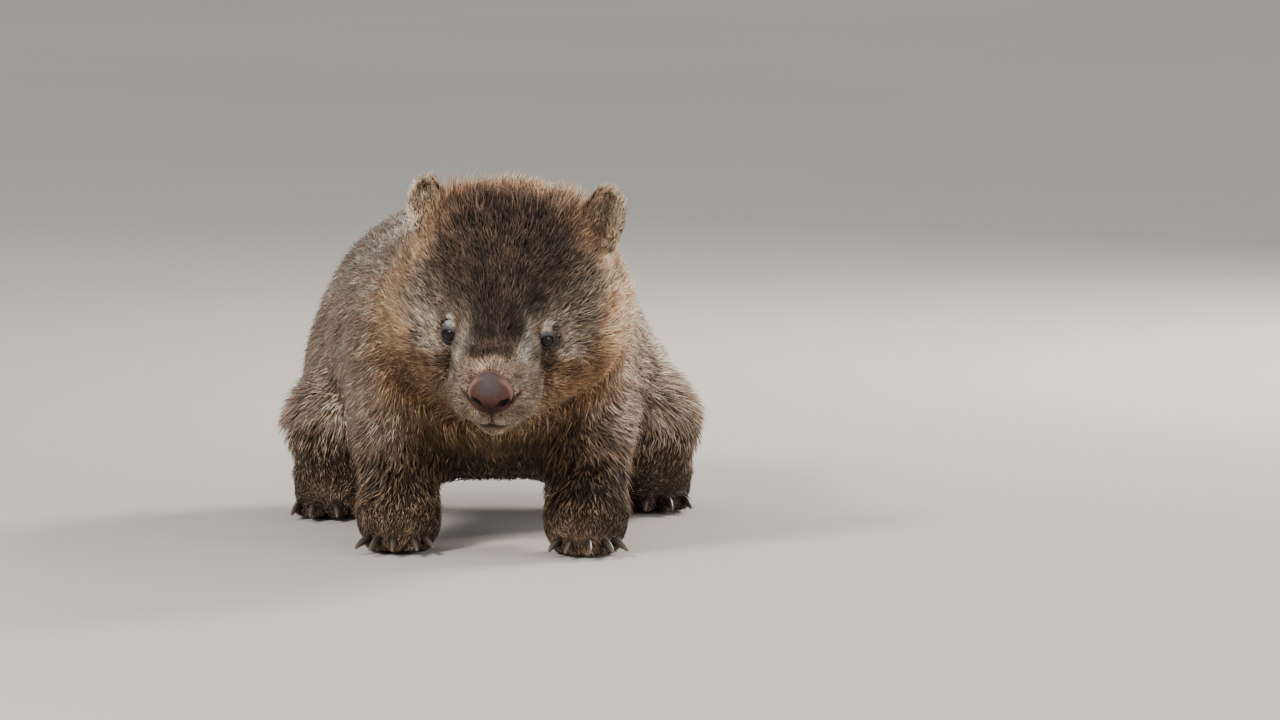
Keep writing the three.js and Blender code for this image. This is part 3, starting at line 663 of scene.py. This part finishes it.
def toned(name, roughness, specular, grain, low=0.75, high=1.2, bump=0, depth=0):
    """The piece's own colours, varied from low to high by a fine grain, and a surface raised by cells."""
    made, tree, shader = material(name, roughness, specular)
    place = node(tree, "ShaderNodeTexCoord").outputs["Object"]
    own = node(tree, "ShaderNodeAttribute", attribute_name="Tone").outputs["Color"]
    fleck = node(tree, "ShaderNodeTexNoise", {"Vector": place, "Scale": grain, "Detail": 4.0})
    shade = node(tree, "ShaderNodeMapRange", {"Value": fleck.outputs["Fac"], "To Min": low, "To Max": high})
    channels = ("Red", "Green", "Blue")
    grey = node(tree, "ShaderNodeCombineColor", {channel: shade.outputs["Result"] for channel in channels})
    factors = {"Factor": 1.0, "A": own, "B": grey.outputs["Color"]}
    shaded = node(tree, "ShaderNodeMix", factors, data_type="RGBA", blend_type="MULTIPLY")
    tree.links.new(shaded.outputs["Result"], shader.inputs["Base Color"])
    if bump:
        cells = node(tree, "ShaderNodeTexVoronoi", {"Vector": place, "Scale": bump}).outputs["Distance"]
        raised = node(tree, "ShaderNodeBump", {"Height": cells, "Distance": depth, "Strength": 0.6})
        tree.links.new(raised.outputs["Normal"], shader.inputs["Normal"])
    return made


hair = toned("coarse agouti hair", 0.66, 0.2, 260, 0.82, 1.16)
hide = toned("hide under the fur", 0.8, 0.25, 500, bump=700, depth=0.0006)
nose_leather = toned("damp nose leather", 0.5, 0.18, 420, 0.8, 1.12, bump=620, depth=0.0009)
lid_skin = toned("bare lid skin", 0.5, 0.4, 600, bump=1500, depth=0.0002)
horn = toned("worn claw horn", 0.42, 0.45, 240, 0.7, 1.25)
wet_eye = toned("wet dark eye", 0.05, 0.3, 300, 0.9, 1.1)

# Skin, one closed surface over head, body, legs, feet and tail. Its normals for the fur are the
# outline's, and on the legs its own
LEGS_BELOW = 120
SKIN_LINES = (
    lines_of((-225, 7), (-190, 5), (-112, 4), (-48, 2.2), (50, 4), (115, 5), (190, 7), (225, 0)),
    lines_of((-452, 2.2), (-396, 3.6), (-200, 8), (40, 5), (250, 8), (440, 0)),
    lines_of((-6, 3.6), (36, 6), (118, 2.6), (215, 4), (300, 6), (354, 0)),
)
skin_points, skin_faces = level_surface(skin_field, SKIN_LINES)
skin_normals = slope_of(outline, skin_points)
low_down = skin_points[:, 2] < LEGS_BELOW
skin_normals[low_down] = slope_of(skin_field, skin_points[low_down])
skin_normals = unit(skin_normals)


def skin_colours(points):
    """Bare skin: the coat's own colour near its root, browner on the muzzle, with painted shade making it
    dark in its creases.
    """
    root, middle, _ = markings(points)
    h = to_head(points)
    face = smooth(-82, -98, h[:, 1]) * smooth(-20, 20, past_nape(points))
    lip = blob(np.abs(h[:, 0]), h[:, 2], (14, -37), (15, 12))
    # Painted shade: the creases of the mouth, cleft and nostrils near black
    creased = smooth(2.2, -0.6, crease_distance(h)) * face
    layers = (middle, 0.6 * face), (tone(106, 78, 72), 0.7 * face * lip), (tone(26, 16, 14), creased)
    return laid_over(mix(root, middle, 0.25), *layers)


skin = new_piece("skin", skin_points, skin_faces, hide, skin_colours(skin_points))
FLESH = ["torso", "neck", "head", "tail"]
FLESH += [f"{part}_{name}" for part in ("foreleg", "hindleg", "forepaw", "hindpaw") for name in SIDES]
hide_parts(*FLESH)


# Tufts of fur


def spread_over(points, faces, weight, count):
    """A function that takes values of a mesh's points to those at random places on it, the more of
    them the greater the area and weight of a face."""
    if faces.shape[1] == 4:
        faces = np.concatenate([faces[:, [0, 1, 2]], faces[:, [0, 2, 3]]])
    a, b, c = (points[faces[:, k]] for k in range(3))
    area = np.linalg.norm(np.cross(b - a, c - a), axis=-1) / 2
    share = np.cumsum(area * weight[faces].mean(1))
    drawn = (np.arange(count) + rng.random(count)) / count * share[-1]
    corner = faces[np.minimum(np.searchsorted(share, drawn), len(faces) - 1)]
    r, s = np.sqrt(rng.random(count)), rng.random(count)
    part = np.stack([1 - r, r * (1 - s), r * s], -1)[..., None]
    return lambda values: (values[corner] * part).sum(1)


def on_head(root, normal, lie):
    """Places and ways of the head's frame, in the drawing's."""
    return from_head(root), normal @ HEAD_TURN.T, lie @ HEAD_TURN.T


# A tuft's points: its root, three round its widest place, and its tip
TUFT_POINTS = 5
TUFT_FACES = np.array([[2, 1, 0], [3, 2, 0], [1, 3, 0], [1, 2, 4], [2, 3, 4], [3, 1, 4]])
TUFT_WIDEST = 0.42
PATCH = 0.003
ABOVE_FLOOR = 0.6


def tufts(root, normal, lie, length, width, lift, curl, colours, sunk=1.0):
    """Tapered three-sided tufts. Each leaves its root at the angle lift to the skin and bends down
    along the lie: its line steps to its widest place at angle lift, then to its tip at 0.45 lift, swung
    sideways by curl. Gives points, faces, colours and the patch of each point."""
    lie = unit(lie - normal * (lie * normal).sum(-1, keepdims=True))
    side = np.cross(normal, lie)

    def step(angle, swing):
        along = lie * np.cos(swing)[:, None] + side * np.sin(swing)[:, None]
        return along * np.cos(angle)[:, None] + normal * np.sin(angle)[:, None]

    length = length[:, None]
    start = root - normal * sunk
    middle = start + step(lift, curl * 0.4) * (length * TUFT_WIDEST + sunk)
    tip = middle + step(lift * 0.45, curl * 1.3) * length * (1 - TUFT_WIDEST)
    wide, high = side * (width / 2)[:, None], normal * (width * 0.34)[:, None]
    points = np.stack([start, middle + wide, middle + high, middle - wide, tip], 1).reshape(-1, 3)
    points[:, 2] = np.maximum(points[:, 2], ABOVE_FLOOR)
    count = len(root)
    faces = (np.arange(count)[:, None, None] * TUFT_POINTS + TUFT_FACES).reshape(-1, 3)
    bands = np.stack([colours[0], *[colours[1]] * 3, colours[2]], 1)
    across = np.array([0.5, 0, 0.5, 1, 0.5]) - 0.5
    along = np.array([0, TUFT_WIDEST, TUFT_WIDEST, TUFT_WIDEST, 1]) - 0.5
    patch = np.stack([across, along], -1) * PATCH
    return points, faces, bands.reshape(-1, 3), np.tile(patch, (count, 1))


def varied(colours, points):
    """Each tuft's colours: lighter and darker in drifts, with some pale all along and some dark."""
    count = len(points)
    drift = 0.9 * noise(points, 7, 1.7)[:, 0] + 0.45 * noise(points, 24, 3.1)[:, 0]
    drift = drift + 0.4 * rng.normal(size=count)
    bright = np.exp(0.66 * drift)[:, None]
    root, middle, tip = colours
    kind = rng.random(count)[:, None]
    pale, dark = kind > 0.74, kind < 0.32
    middle = np.where(pale, mix(middle, tip, 0.7), np.where(dark, mix(middle, root, 0.55), middle))
    tip = np.where(dark, mix(tip, middle, 0.75), tip)
    warm = 1 + 0.06 * rng.normal(size=(count, 1)) * np.array([1, 0, -1])
    return root * bright, np.minimum(middle * bright * warm, 0.85), np.minimum(tip * bright * warm, 0.92)


def coat_piece(name, tufted, place):
    """A coat piece, with each tuft's patch at its root's place on the unwrap."""
    points, faces, colours, patch = tufted
    low, high = place.min(0), place.max(0)
    spot = PATCH + (1 - 2 * PATCH) * (place - low) / (high - low)
    uv = np.repeat(spot, TUFT_POINTS, 0) + patch
    made = new_piece(name, points, faces, hair, colours, uv)


def lie_of(points):
    """The way the coat lies: out from the nose over the head, back along the body, down over flanks,
    rump, chest and legs, and forward over the feet."""
    x, y, z = points.T
    flank = smooth(50, 150, np.abs(x)) * smooth(290, 200, z)
    rear, chest = smooth(230, 370, y), smooth(-190, -260, y)
    leg, foot = smooth(130, 70, z), smooth(58, 26, z)
    down = -0.08 - 0.75 * flank - 1.6 * rear - chest
    body = np.stack([0.15 * np.sign(x) * flank, 1 - 1.1 * chest, down], -1)
    body = mix(body, -UP, leg[:, None])
    body = mix(body, np.array([0, -1.0, -0.35]), foot[:, None])
    h = to_head(points)
    from_nose = unit(h - (0, -112, -4))
    from_nose[:, 1] += 0.35
    from_nose[:, 2] -= 0.5 * smooth(0, -60, h[:, 2]) * smooth(-60, 10, h[:, 1])
    head = from_nose @ HEAD_TURN.T
    return mix(unit(body), unit(head), smooth(-50, 10, past_nape(points))[:, None])


def coat_sizes(points, normals):
    """Depth of the coat, lift from the skin in radians and width of tufts, by place on the body."""
    h = to_head(points)
    head = smooth(-30, 30, past_nape(points))
    depth = coat_depth(points)
    crown = head * smooth(20, 70, h[:, 2]) * smooth(-70, -30, h[:, 1])
    lift = np.radians(mix(35.0, 60.0, crown))
    lift = mix(lift, np.radians(24.0), smooth(5, 2.5, depth))
    lift = lift * mix(1, 0.5, smooth(-0.45, -0.9, normals[:, 2]) * (1 - head))
    width = mix(0.75, mix(1.6, 1.25, head), smooth(2, 9, depth))
    return depth, lift, width


# A tuft's height over its length is the sine of this share of its lift
MEAN_LIFT = 0.74
depth, lift, width = coat_sizes(skin_points, skin_normals)
density = 1 / (width * depth / np.sin(MEAN_LIFT * lift))
in_head = past_nape(skin_points) > -6
in_legs = (skin_points[:, 2] < 92) & ~in_head


def bare(points):
    """Where no fur grows: the nose pad, the eyes, the soles and the creases of the muzzle."""
    h = to_head(points)
    pad = (np.abs(h[:, 0]) / NOSE_HALF) ** 1.6 + (np.abs(h[:, 2] - NOSE_UP) / (NOSE_TALL / 2)) ** 1.6
    on_pad = (pad < 0.94) & (h[:, 1] < -105)
    in_eye = eye_distance(h) < EYE_RADIUS + 0.8
    creased = (crease_distance(h) < 0.2) & (h[:, 1] < MUZZLE_END)
    return on_pad | in_eye | creased | (points[:, 2] < 4)


def unwrap_body(points):
    """Round the body by angle about its long axis, and along it."""
    return np.stack([np.arctan2(points[:, 0] + 8, points[:, 2] - 165), points[:, 1]], -1)


def unwrap_head(points):
    """By the angle from the muzzle's axis, laid out flat round it."""
    h = unit(to_head(points))
    angle, around = np.arccos(np.clip(-h[:, 1], -1, 1)), np.arctan2(h[:, 2], h[:, 0])
    return np.stack([angle * np.cos(around), angle * np.sin(around)], -1)


def unwrap_legs(points):
    """Round each leg by angle and up it, the four side by side."""
    middles = np.array([leg["palm"][:2] for leg in legs.values()])
    which = np.linalg.norm(points[:, None, :2] - middles, axis=-1).argmin(1)
    away = points[:, :2] - middles[which]
    around = np.arctan2(away[:, 0], away[:, 1]) / (2 * np.pi) + 0.5
    return np.stack([which + 0.94 * around, points[:, 2]], -1)


# Each region's tufts, where they grow and their unwrap, and the most tufts in one piece
REGIONS = {
    "body": (118000, ~in_head & ~in_legs, unwrap_body),
    "head": (76000, in_head, unwrap_head),
    "legs": (31000, in_legs, unwrap_legs),
}
MOST = 32000
for region, (drawn, where, unwrap) in REGIONS.items():
    at = spread_over(skin_points, skin_faces, density * where, drawn)
    root, normal = at(skin_points), unit(at(skin_normals))
    kept = ~bare(root)
    root, normal = root[kept], normal[kept]
    deep, rise, wide = coat_sizes(root, normal)
    count = len(root)
    on_crown = smooth(52, 84, root[:, 2] - HEAD_CENTRE[2]) * (past_nape(root) > -30)
    guard = rng.random(count) < 0.1 + 0.14 * on_crown
    rise = rise * rng.normal(1, 0.14, count) * np.where(guard, 1.2, 1) + 0.14 * noise(root, 21, 2.3)[:, 1]
    rise = np.clip(rise, 0.1, 1.45)
    long = deep / np.sin(np.clip(MEAN_LIFT * rise, 0.2, 1.2)) * rng.uniform(0.66, 1.04, count)
    beside_ears = on_crown * smooth(26, 58, np.abs(to_head(root)[:, 0]))
    hanging = smooth(0.1, -0.5, normal[:, 2]) * smooth(120, 90, root[:, 2])
    long = np.minimum(long, deep * 2.4 + 4) * np.where(guard, 1.3 + 0.6 * on_crown, 1)
    long = long * (1 + 0.7 * beside_ears) * (1 - 0.45 * hanging)
    beside = smooth(5, 0, crease_distance(to_head(root))) * (past_nape(root) > 0)
    long = long * (1 - 0.6 * beside)
    wide = wide * rng.uniform(0.75, 1.2, count) * np.where(guard, 0.75, 1)
    lie = unit(lie_of(root)) + 0.3 * noise(root, 15, 7.7) + 0.2 * noise(root, 6, 4.1)
    lie = lie + 0.09 * rng.normal(size=(count, 3))
    curl = 0.3 * noise(root, 19, 9.9)[:, 2] + 0.16 * rng.normal(size=count)
    colours = varied(markings(root), root)
    place = unwrap(root)
    order = np.argsort(place[:, 0])
    for part, some in enumerate(np.array_split(order, -(-count // MOST)), 1):
        values = (root, normal, lie, long, wide, rise, curl)
        made = tufts(*[v[some] for v in values], [c[some] for c in colours])
        coat_piece(f"coat_{region}_{part}", made, place[some])

# Ears, their hair short behind and longer inside, with a pale fringe along the rim
EAR_ROWS, EAR_AROUND, EAR_INSET = 26, 32, 1.6
EAR_TUFTS = 7000
EAR_INSIDE = tones((88, 66, 51), (152, 124, 99), (214, 190, 162))
EAR_FOLD = tones((62, 44, 34), (124, 96, 74), (184, 151, 121))
EAR_RIM = tones((110, 86, 66), (194, 166, 136), (236, 216, 190))
EAR_BACK = tones((52, 38, 29), (114, 87, 66), (178, 146, 117))
EAR_SKIN = tone(104, 80, 68)


def ear_grid(side):
    """Crescent sections up to a rounded tip: at height t and angle a the section is
    (half cos a, thick sin a - cup cos^2 a, tall t), hollowed in front, then turned and set on the head."""
    t = np.linspace(-0.26, 0.985, EAR_ROWS)[:, None]
    a = round_angles(EAR_AROUND)[None, :]
    rounded = np.sqrt(np.maximum(1 - np.maximum(t, 0) ** 3.4, 0.004))
    cup = EAR["cup"] * smooth(-0.05, 0.35, t) * rounded
    thick = EAR["thick"] * np.where(t < 0, 1.6, 1 - 0.65 * t) * 0.62
    bend = np.cos(a) ** 2
    hollow = np.where(np.sin(a) < 0, cup * 0.62 * (1 - bend), 0)
    x = np.cos(a) * (EAR["half"] - EAR_INSET) * rounded
    grid = points_of(x, np.sin(a) * thick - cup * bend + hollow, t * (EAR["tall"] - 2 * EAR_INSET))
    set_on = turn(0, EAR["tilt"]) @ turn(1, EAR["lean"] * side) @ turn(2, EAR["turn"] * side)
    grid = grid @ set_on.T + (EAR["side"] * side + EAR["shift"], EAR["back"], EAR["up"])
    return grid, *[np.broadcast_to(f, x.shape).ravel() for f in (t, a)], set_on


for name, side in SIDES.items():
    grid, t, a, set_on = ear_grid(side)
    points, faces = capped(grid, EAR_AROUND)
    inside = smooth(0.1, -0.5, np.sin(a)) * smooth(0.95, 0.8, np.abs(np.cos(a)))
    colour = with_middles(mix(EAR_BACK[0], EAR_SKIN, inside[:, None]), EAR_AROUND)
    made = new_piece(f"ear_{name}_shell", from_head(points), faces, hide, colour)
    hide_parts(f"ear_{name}")
    rim = np.maximum(smooth(0.84, 0.98, np.abs(np.cos(a))), smooth(0.84, 0.95, t))
    sides = faces[(faces < len(grid)).all(1)]
    at = spread_over(grid, sides, (t > -0.12) * (1 + 1.2 * rim), EAR_TUFTS)
    flat = grid.reshape(-1, EAR_AROUND, 3)
    normal = np.cross(np.roll(flat, -1, 1) - np.roll(flat, 1, 1), np.gradient(flat, axis=0))
    normal = unit(normal.reshape(-1, 3))
    root, normal = at(grid), unit(at(normal))
    high, about, edge, front, out = at(np.column_stack([t, a, rim, np.sin(a), np.cos(a)])).T
    front = smooth(0.1, -0.5, front)
    lie = set_on[:, 2] + set_on[:, 0] * (0.5 * edge * out)[:, None] + 0.2 * rng.normal(size=root.shape)
    inward = smooth(-0.3, -0.85, out * side)
    layers = (EAR_INSIDE, front * (1 - 0.8 * inward)), (EAR_FOLD, front * inward)
    colours = laid_over(EAR_BACK, *layers, (EAR_RIM, edge * (1 - 0.7 * inward)))
    long = (mix(7.0, 10.5, front) + 1.5 * edge) * rng.uniform(0.7, 1.1, EAR_TUFTS)
    rise = np.radians(mix(mix(20, 26, front), 38, edge)) * rng.normal(1, 0.2, EAR_TUFTS)
    wide, curl = rng.uniform(0.6, 1.1, EAR_TUFTS), 0.2 * rng.normal(size=EAR_TUFTS)
    root, normal, lie = on_head(root, normal, lie)
    made = tufts(root, normal, lie, long, wide, np.clip(rise, 0.1, 1.2), curl, varied(colours, root), 0.6)
    coat_piece(f"coat_ear_{name}", made, np.stack([about % (2 * np.pi), high], -1))


# Eyes, their lids and the lids' fur
EYE_ROWS, EYE_AROUND = 28, 40
LID_ROUND, LID_SECTION, LID_TUFTS = 64, 24, 1700
OPENING_HALF, OPENING_BELOW, OPENING_ABOVE = 5.7, 4.9, 4.6
LID_BELOW, LID_ABOVE, LID_REACH = 1.3, 2.1, 1.5


def eyeball():
    """A ball of revolution about the way it looks: its radius at angle b from that way is that of the
    solid less 0.5, and 0.8 exp(-(b / 0.6)^2) more for the cornea."""
    b, a = np.linspace(0.04, np.pi - 0.1, EYE_ROWS)[:, None], round_angles(EYE_AROUND)[None, :]
    radius = EYE_RADIUS - 0.5 + 0.8 * np.exp(-((b / 0.6) ** 2))
    level = radius * np.sin(b)
    return points_of(level * np.cos(a), level * np.sin(a), radius * np.cos(b)), np.repeat(b, EYE_AROUND)


def eyelids():
    """A closed roll round the opening, lying on the ball from the opening's angle asin(c / R) down to
    LID_REACH radians from the gaze: its section is an ellipse, thickest above the eye, with a fold."""
    a, v = round_angles(LID_ROUND)[:, None], round_angles(LID_SECTION)[None, :]
    above = smooth(-0.1, 0.95, np.sin(a))
    high = mix(OPENING_BELOW, OPENING_ABOVE, above) * np.sin(a)
    opening = np.arcsin(np.hypot(OPENING_HALF * np.cos(a), high) / EYE_RADIUS)
    broad, thick = (LID_REACH - opening) / 2, mix(LID_BELOW, LID_ABOVE, above)
    swing = opening + broad * (1 + np.cos(v))
    fold = 0.45 * np.exp(-(((swing - opening - 0.42) / 0.07) ** 2)) * (np.sin(v) > 0)
    radius = EYE_RADIUS + 0.35 + thick * np.sin(v) - fold
    level = radius * np.sin(swing)
    roll = points_of(level * np.cos(a), level * np.sin(a), radius * np.cos(swing))
    return roll, points_of(a, v, swing - opening).T


ball, b = eyeball()
# The ball: a black pupil, a dark brown iris and, round its edge, a grey-blue painted reflection of the sky
rings = (tone(34, 22, 16), smooth(0.3, 0.4, b)), (tone(10, 8, 8), smooth(0.52, 0.62, b))
iris_and_reflection = laid_over(tone(5, 4, 4), *rings, (tone(96, 100, 108), smooth(0.66, 0.78, b)))
iris_and_reflection = with_middles(iris_and_reflection, EYE_AROUND)
roll, (a, v, away) = eyelids()
lid_faces = grid_faces(LID_ROUND + 1, LID_SECTION) % (LID_ROUND * LID_SECTION)
high = smooth(0.2, 0.9, np.sin(a))
# The lid margin: dark, with a painted reflection of the sky, grey-blue, on its upper part
margin_and_reflection = laid_over(tone(31, 28, 30), (tone(66, 67, 75), high))
outside = laid_over(tone(37, 29, 24), (tone(120, 103, 92), high))
colour = laid_over(margin_and_reflection, (outside, smooth(0.24, 0.46, away)))
colour = laid_over(tone(16, 14, 15), (colour, smooth(0.02, 0.1, away)))
grown = (away > mix(0.24, 0.36, smooth(0, 0.8, np.sin(a)))) & (np.sin(v) > 0)
for name, (centre, axes) in eyes.items():
    points, faces = capped(ball @ axes + centre, EYE_AROUND)
    made = new_piece(f"eyeball_{name}", from_head(points), faces[:, ::-1], wet_eye, iris_and_reflection)
    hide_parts(f"eye_{name}")
    grid = roll @ axes + centre
    made = new_piece(f"eyelids_{name}", from_head(grid), lid_faces[:, ::-1], lid_skin, colour)
    root = spread_over(grid, lid_faces, grown.astype(float), LID_TUFTS)(grid)
    normal = unit(root - centre)
    lie = normal - axes[2] * (1.2 * normal @ axes[2])[:, None] + 0.15 * rng.normal(size=root.shape)
    place = (root - centre) @ axes.T
    root, normal, lie = on_head(root, normal, lie)
    colours = varied(markings(root), root)
    sizes = [rng.uniform(low, high, LID_TUFTS) for low, high in ((2.2, 4.2), (0.35, 0.6), (0.2, 0.5))]
    made = tufts(root, normal, lie, *sizes, 0.2 * rng.normal(size=LID_TUFTS), colours, 0.4)
    coat_piece(f"coat_lids_{name}", made, place[:, :2])


# Nose pad: its nostrils, and the depths of their pits, the grooves beside its wings and its cleft
NOSE_RINGS, NOSE_AROUND = 44, 96
NOSTRIL_SIDE, NOSTRIL_UP, NOSTRIL_LONG, NOSTRIL_HIGH = 12, -7.5, 6, 3.8
PIT_DEEP, WING_DEEP, CLEFT_DEEP, RIDGE_PROUD = 7.5, 1.5, 1.8, 1.6
TURNED_IN = np.array([[0.3, 0.99], [2, 0.96], [4.5, 0.92], [8, 0.86], [12, 0.78]])


def power(t, exponent):
    """A power of the size of t, with its sign."""
    return np.sign(t) * np.abs(t) ** exponent


def nostril(x, z):
    """How far places on the pad are from the nearer nostril, 1 at its rim: ellipses that rise outward."""
    u = (np.abs(x) - NOSTRIL_SIDE) * 0.86 + (z - NOSTRIL_UP) * 0.5
    v = -(np.abs(x) - NOSTRIL_SIDE) * 0.5 + (z - NOSTRIL_UP) * 0.86
    return np.hypot(u / NOSTRIL_LONG, v / NOSTRIL_HIGH)


def nose_grid():
    """A rounded diamond in polar form, laid on the muzzle: out to its rim at r = 1 it stands proud by
    bulge (1 - r^3.4), more on the ridge, pressed in at the nostrils, beside the wings and along the
    cleft; past the rim it turns back into the muzzle."""
    flat = np.linspace(0.03, 1, NOSE_RINGS - len(TURNED_IN))
    r = np.concatenate([flat, TURNED_IN[:, 1]])[:, None]
    back = np.concatenate([0 * flat, TURNED_IN[:, 0]])[:, None]
    a = round_angles(NOSE_AROUND)[None, :]
    x = power(np.cos(a), 1.36) * NOSE_HALF * r
    z = power(np.sin(a), 1.2) * NOSE_TALL / 2 * r
    on_top = back == 0
    out = NOSE_BULGE * (1 - np.minimum(r, 1) ** 3.4) - back
    out = out + RIDGE_PROUD * np.exp(-((x / 8) ** 2) - ((z - 8) / 9) ** 2) * on_top
    wing = np.exp(-(((np.abs(x) - 10) / 2.4) ** 2)) * smooth(8, -1, z) * smooth(-14, -8, z)
    out = out - WING_DEEP * wing * on_top
    out = out - PIT_DEEP * np.exp(-(nostril(x, z) ** 3)) * on_top
    out = out - CLEFT_DEEP * np.exp(-((x / 1.5) ** 2)) * smooth(-2, -12, z) * on_top
    out = out + 0.45 * noise(points_of(x, 0, z), 4.5)[:, 0].reshape(out.shape) * on_top
    seat = on_face(x.ravel(), NOSE_UP + z.ravel())
    return seat - out.reshape(-1, 1) * BACKWARD, *points_of(x, z, r).T


grid, x, z, r = nose_grid()
points, faces = capped(grid, NOSE_AROUND)
edge = smooth(0.82, 0.95, r) * smooth(-9, -3, z) * smooth(20, 12, z)
colour = laid_over(
    tone(86, 52, 43),
    (tone(80, 69, 68), smooth(-7, 11, z) * smooth(18, 5, np.abs(x))),
    (tone(42, 13, 6), smooth(18, 4, np.abs(x)) * smooth(3, -10, z)),
    (tone(156, 124, 110), 0.7 * edge),
    # Painted shade: the nostril pits near black
    (tone(12, 6, 5), smooth(1.2, 0.6, nostril(x, z))),
)
colour = with_middles(colour, NOSE_AROUND)
pad = new_piece("nose_pad", from_head(points), faces[:, ::-1], nose_leather, colour)
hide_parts("nose")


# Whiskers
WHISKER_ROWS, WHISKER_AROUND, WHISKER_LONG, WHISKER_THICK = 12, 5, 36, 0.28


def whisker(root, way, long):
    """A round taper along root + long (way t + (0, 0.1, -0.22) t^2), with radius thick (1 - 0.9 t)."""
    t = np.linspace(0, 1, WHISKER_ROWS)[:, None, None]
    a = round_angles(WHISKER_AROUND)[None, :, None]
    level = unit(np.cross(way, UP))
    line = root + way * long * t + np.array([0, 0.1, -0.22]) * long * t * t
    grid = line + WHISKER_THICK * (1 - 0.9 * t) * (level * np.cos(a) + np.cross(level, way) * np.sin(a))
    return capped(grid.reshape(-1, 3), WHISKER_AROUND)


whiskers = []
for side in BOTH:
    for row, n in np.ndindex(4, 5):
        spot = on_face((20.0 + 3.4 * n) * side, -38.0 + 7 * row - n)[0]
        way = unit(np.array([0.9 * side, -0.5 + 0.2 * n, 0.1 * row - 0.25]) + 0.12 * rng.normal(size=3))
        whiskers.append(whisker(spot, way, WHISKER_LONG * rng.uniform(0.8, 1.2)))
points, faces = gathered(whiskers)
colour = np.tile(tone(88, 66, 48), (len(points), 1))
made = new_piece("whiskers", from_head(points), faces[:, ::-1], hair, colour)

# Claws
CLAW_ROWS, CLAW_AROUND = 14, 12


def claw(toe, paw):
    """A blunt hook: at t along it the middle rises by 2 + 3t - 9t^2, and its half thickness is
    1 - 0.62 t^2 of the root's, closing at the tip."""
    way, _, tip = toe
    side = np.cross(UP, way)
    t = np.linspace(0, 1, CLAW_ROWS)[:, None, None]
    a = round_angles(CLAW_AROUND)[None, :, None]
    middle = tip + way * (paw["toe"] - 3 + paw["claw"] * t) + UP * (2 + 3 * t - 9 * t * t)
    size = CLAW_THICK / 2 * (1 - 0.62 * t * t) * np.sqrt(np.clip((1.012 - t) * 14, 0, 1))
    ridge = 1 + 0.05 * np.cos(6 * a)
    grid = middle + size * ridge * (side * np.cos(a) * 0.8 + UP * np.sin(a) * 1.1)
    return capped(grid.reshape(-1, 3), CLAW_AROUND)


for name, leg in legs.items():
    count = len(leg["toes"])
    points, faces = gathered([claw(toe, leg["paw"]) for toe in leg["toes"]])
    along = with_middles(np.repeat(np.linspace(0, 1, CLAW_ROWS), CLAW_AROUND), CLAW_AROUND)
    colour = mix(tone(34, 27, 23), tone(92, 78, 66), smooth(0.2, 1, np.tile(along, count))[:, None])
    made = new_piece(f"claws_{name}", points, faces, horn, colour)
    part, side_name = name.split("_")
    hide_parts(*[f"{part}paw_{side_name}_claw_{n + 1}" for n in range(count)])


# Floor, light and camera


def floor_material():
    """A pale grey that drifts a little from place to place."""
    made, tree, shader = material("pale studio floor", 0.9, 0.2)
    place = node(tree, "ShaderNodeTexCoord").outputs["Object"]
    soft = node(tree, "ShaderNodeTexNoise", {"Vector": place, "Scale": 0.7})
    ramp = node(tree, "ShaderNodeValToRGB", {"Fac": soft.outputs["Fac"]})
    for stop, shade in zip(ramp.color_ramp.elements, (tone(196, 190, 180), tone(208, 203, 194))):
        stop.color = (*shade, 1)
    tree.links.new(ramp.outputs["Color"], shader.inputs["Base Color"])
    return made


bpy.ops.mesh.primitive_plane_add(size=60)
floor = bpy.context.object
floor.name = "floor"
floor.data.materials.append(floor_material())

world = bpy.data.worlds.new("soft studio")
world.use_nodes = True
sky = world.node_tree.nodes["Background"].inputs
sky["Color"].default_value = (0.93, 0.96, 1.0, 1)
sky["Strength"].default_value = 0.66
bpy.context.scene.world = world


def soft_light(name, place, target, size, power, colour):
    """A square area light that faces its target."""
    lamp = bpy.data.lights.new(name, "AREA")
    lamp.size, lamp.energy, lamp.color = size, power, colour
    made = put(name, lamp)
    away = np.array(place, float) - target
    made.location = place
    level = np.hypot(away[0], away[1])
    made.rotation_euler = (np.arctan2(level, away[2]), 0, np.arctan2(away[1], away[0]) + np.pi / 2)


soft_light("key", (-1.9, -2.8, 2.4), (0, 0, 0.15), 0.8, 135, (1.0, 0.955, 0.9))
soft_light("fill", (2.4, -2.6, 1.0), (0, 0, 0.15), 1.6, 42, (1.0, 0.97, 0.94))
soft_light("rim", (1.9, 2.3, 1.6), (0, -0.1, 0.2), 0.8, 130, (1.0, 0.93, 0.84))

ELEVATION, AIM, DISTANCE, MM_PER_PIXEL = 4.5, np.array([134, -292, 178.4]), 9000, 0.9
IMAGE_WIDE, SENSOR = 1280, 36
camera = bpy.data.cameras.new("photo camera")
camera.sensor_width = SENSOR
camera.lens = SENSOR * DISTANCE / (MM_PER_PIXEL * IMAGE_WIDE)
camera.clip_end = 100
tilt = np.radians(ELEVATION)
eye_point = AIM + DISTANCE * np.array([0, -np.cos(tilt), np.sin(tilt)])
seen_from = put("photo camera", camera)
seen_from.location = set_down(eye_point)
seen_from.rotation_euler = (np.radians(90 - ELEVATION), 0, 0)
bpy.context.scene.camera = seen_from
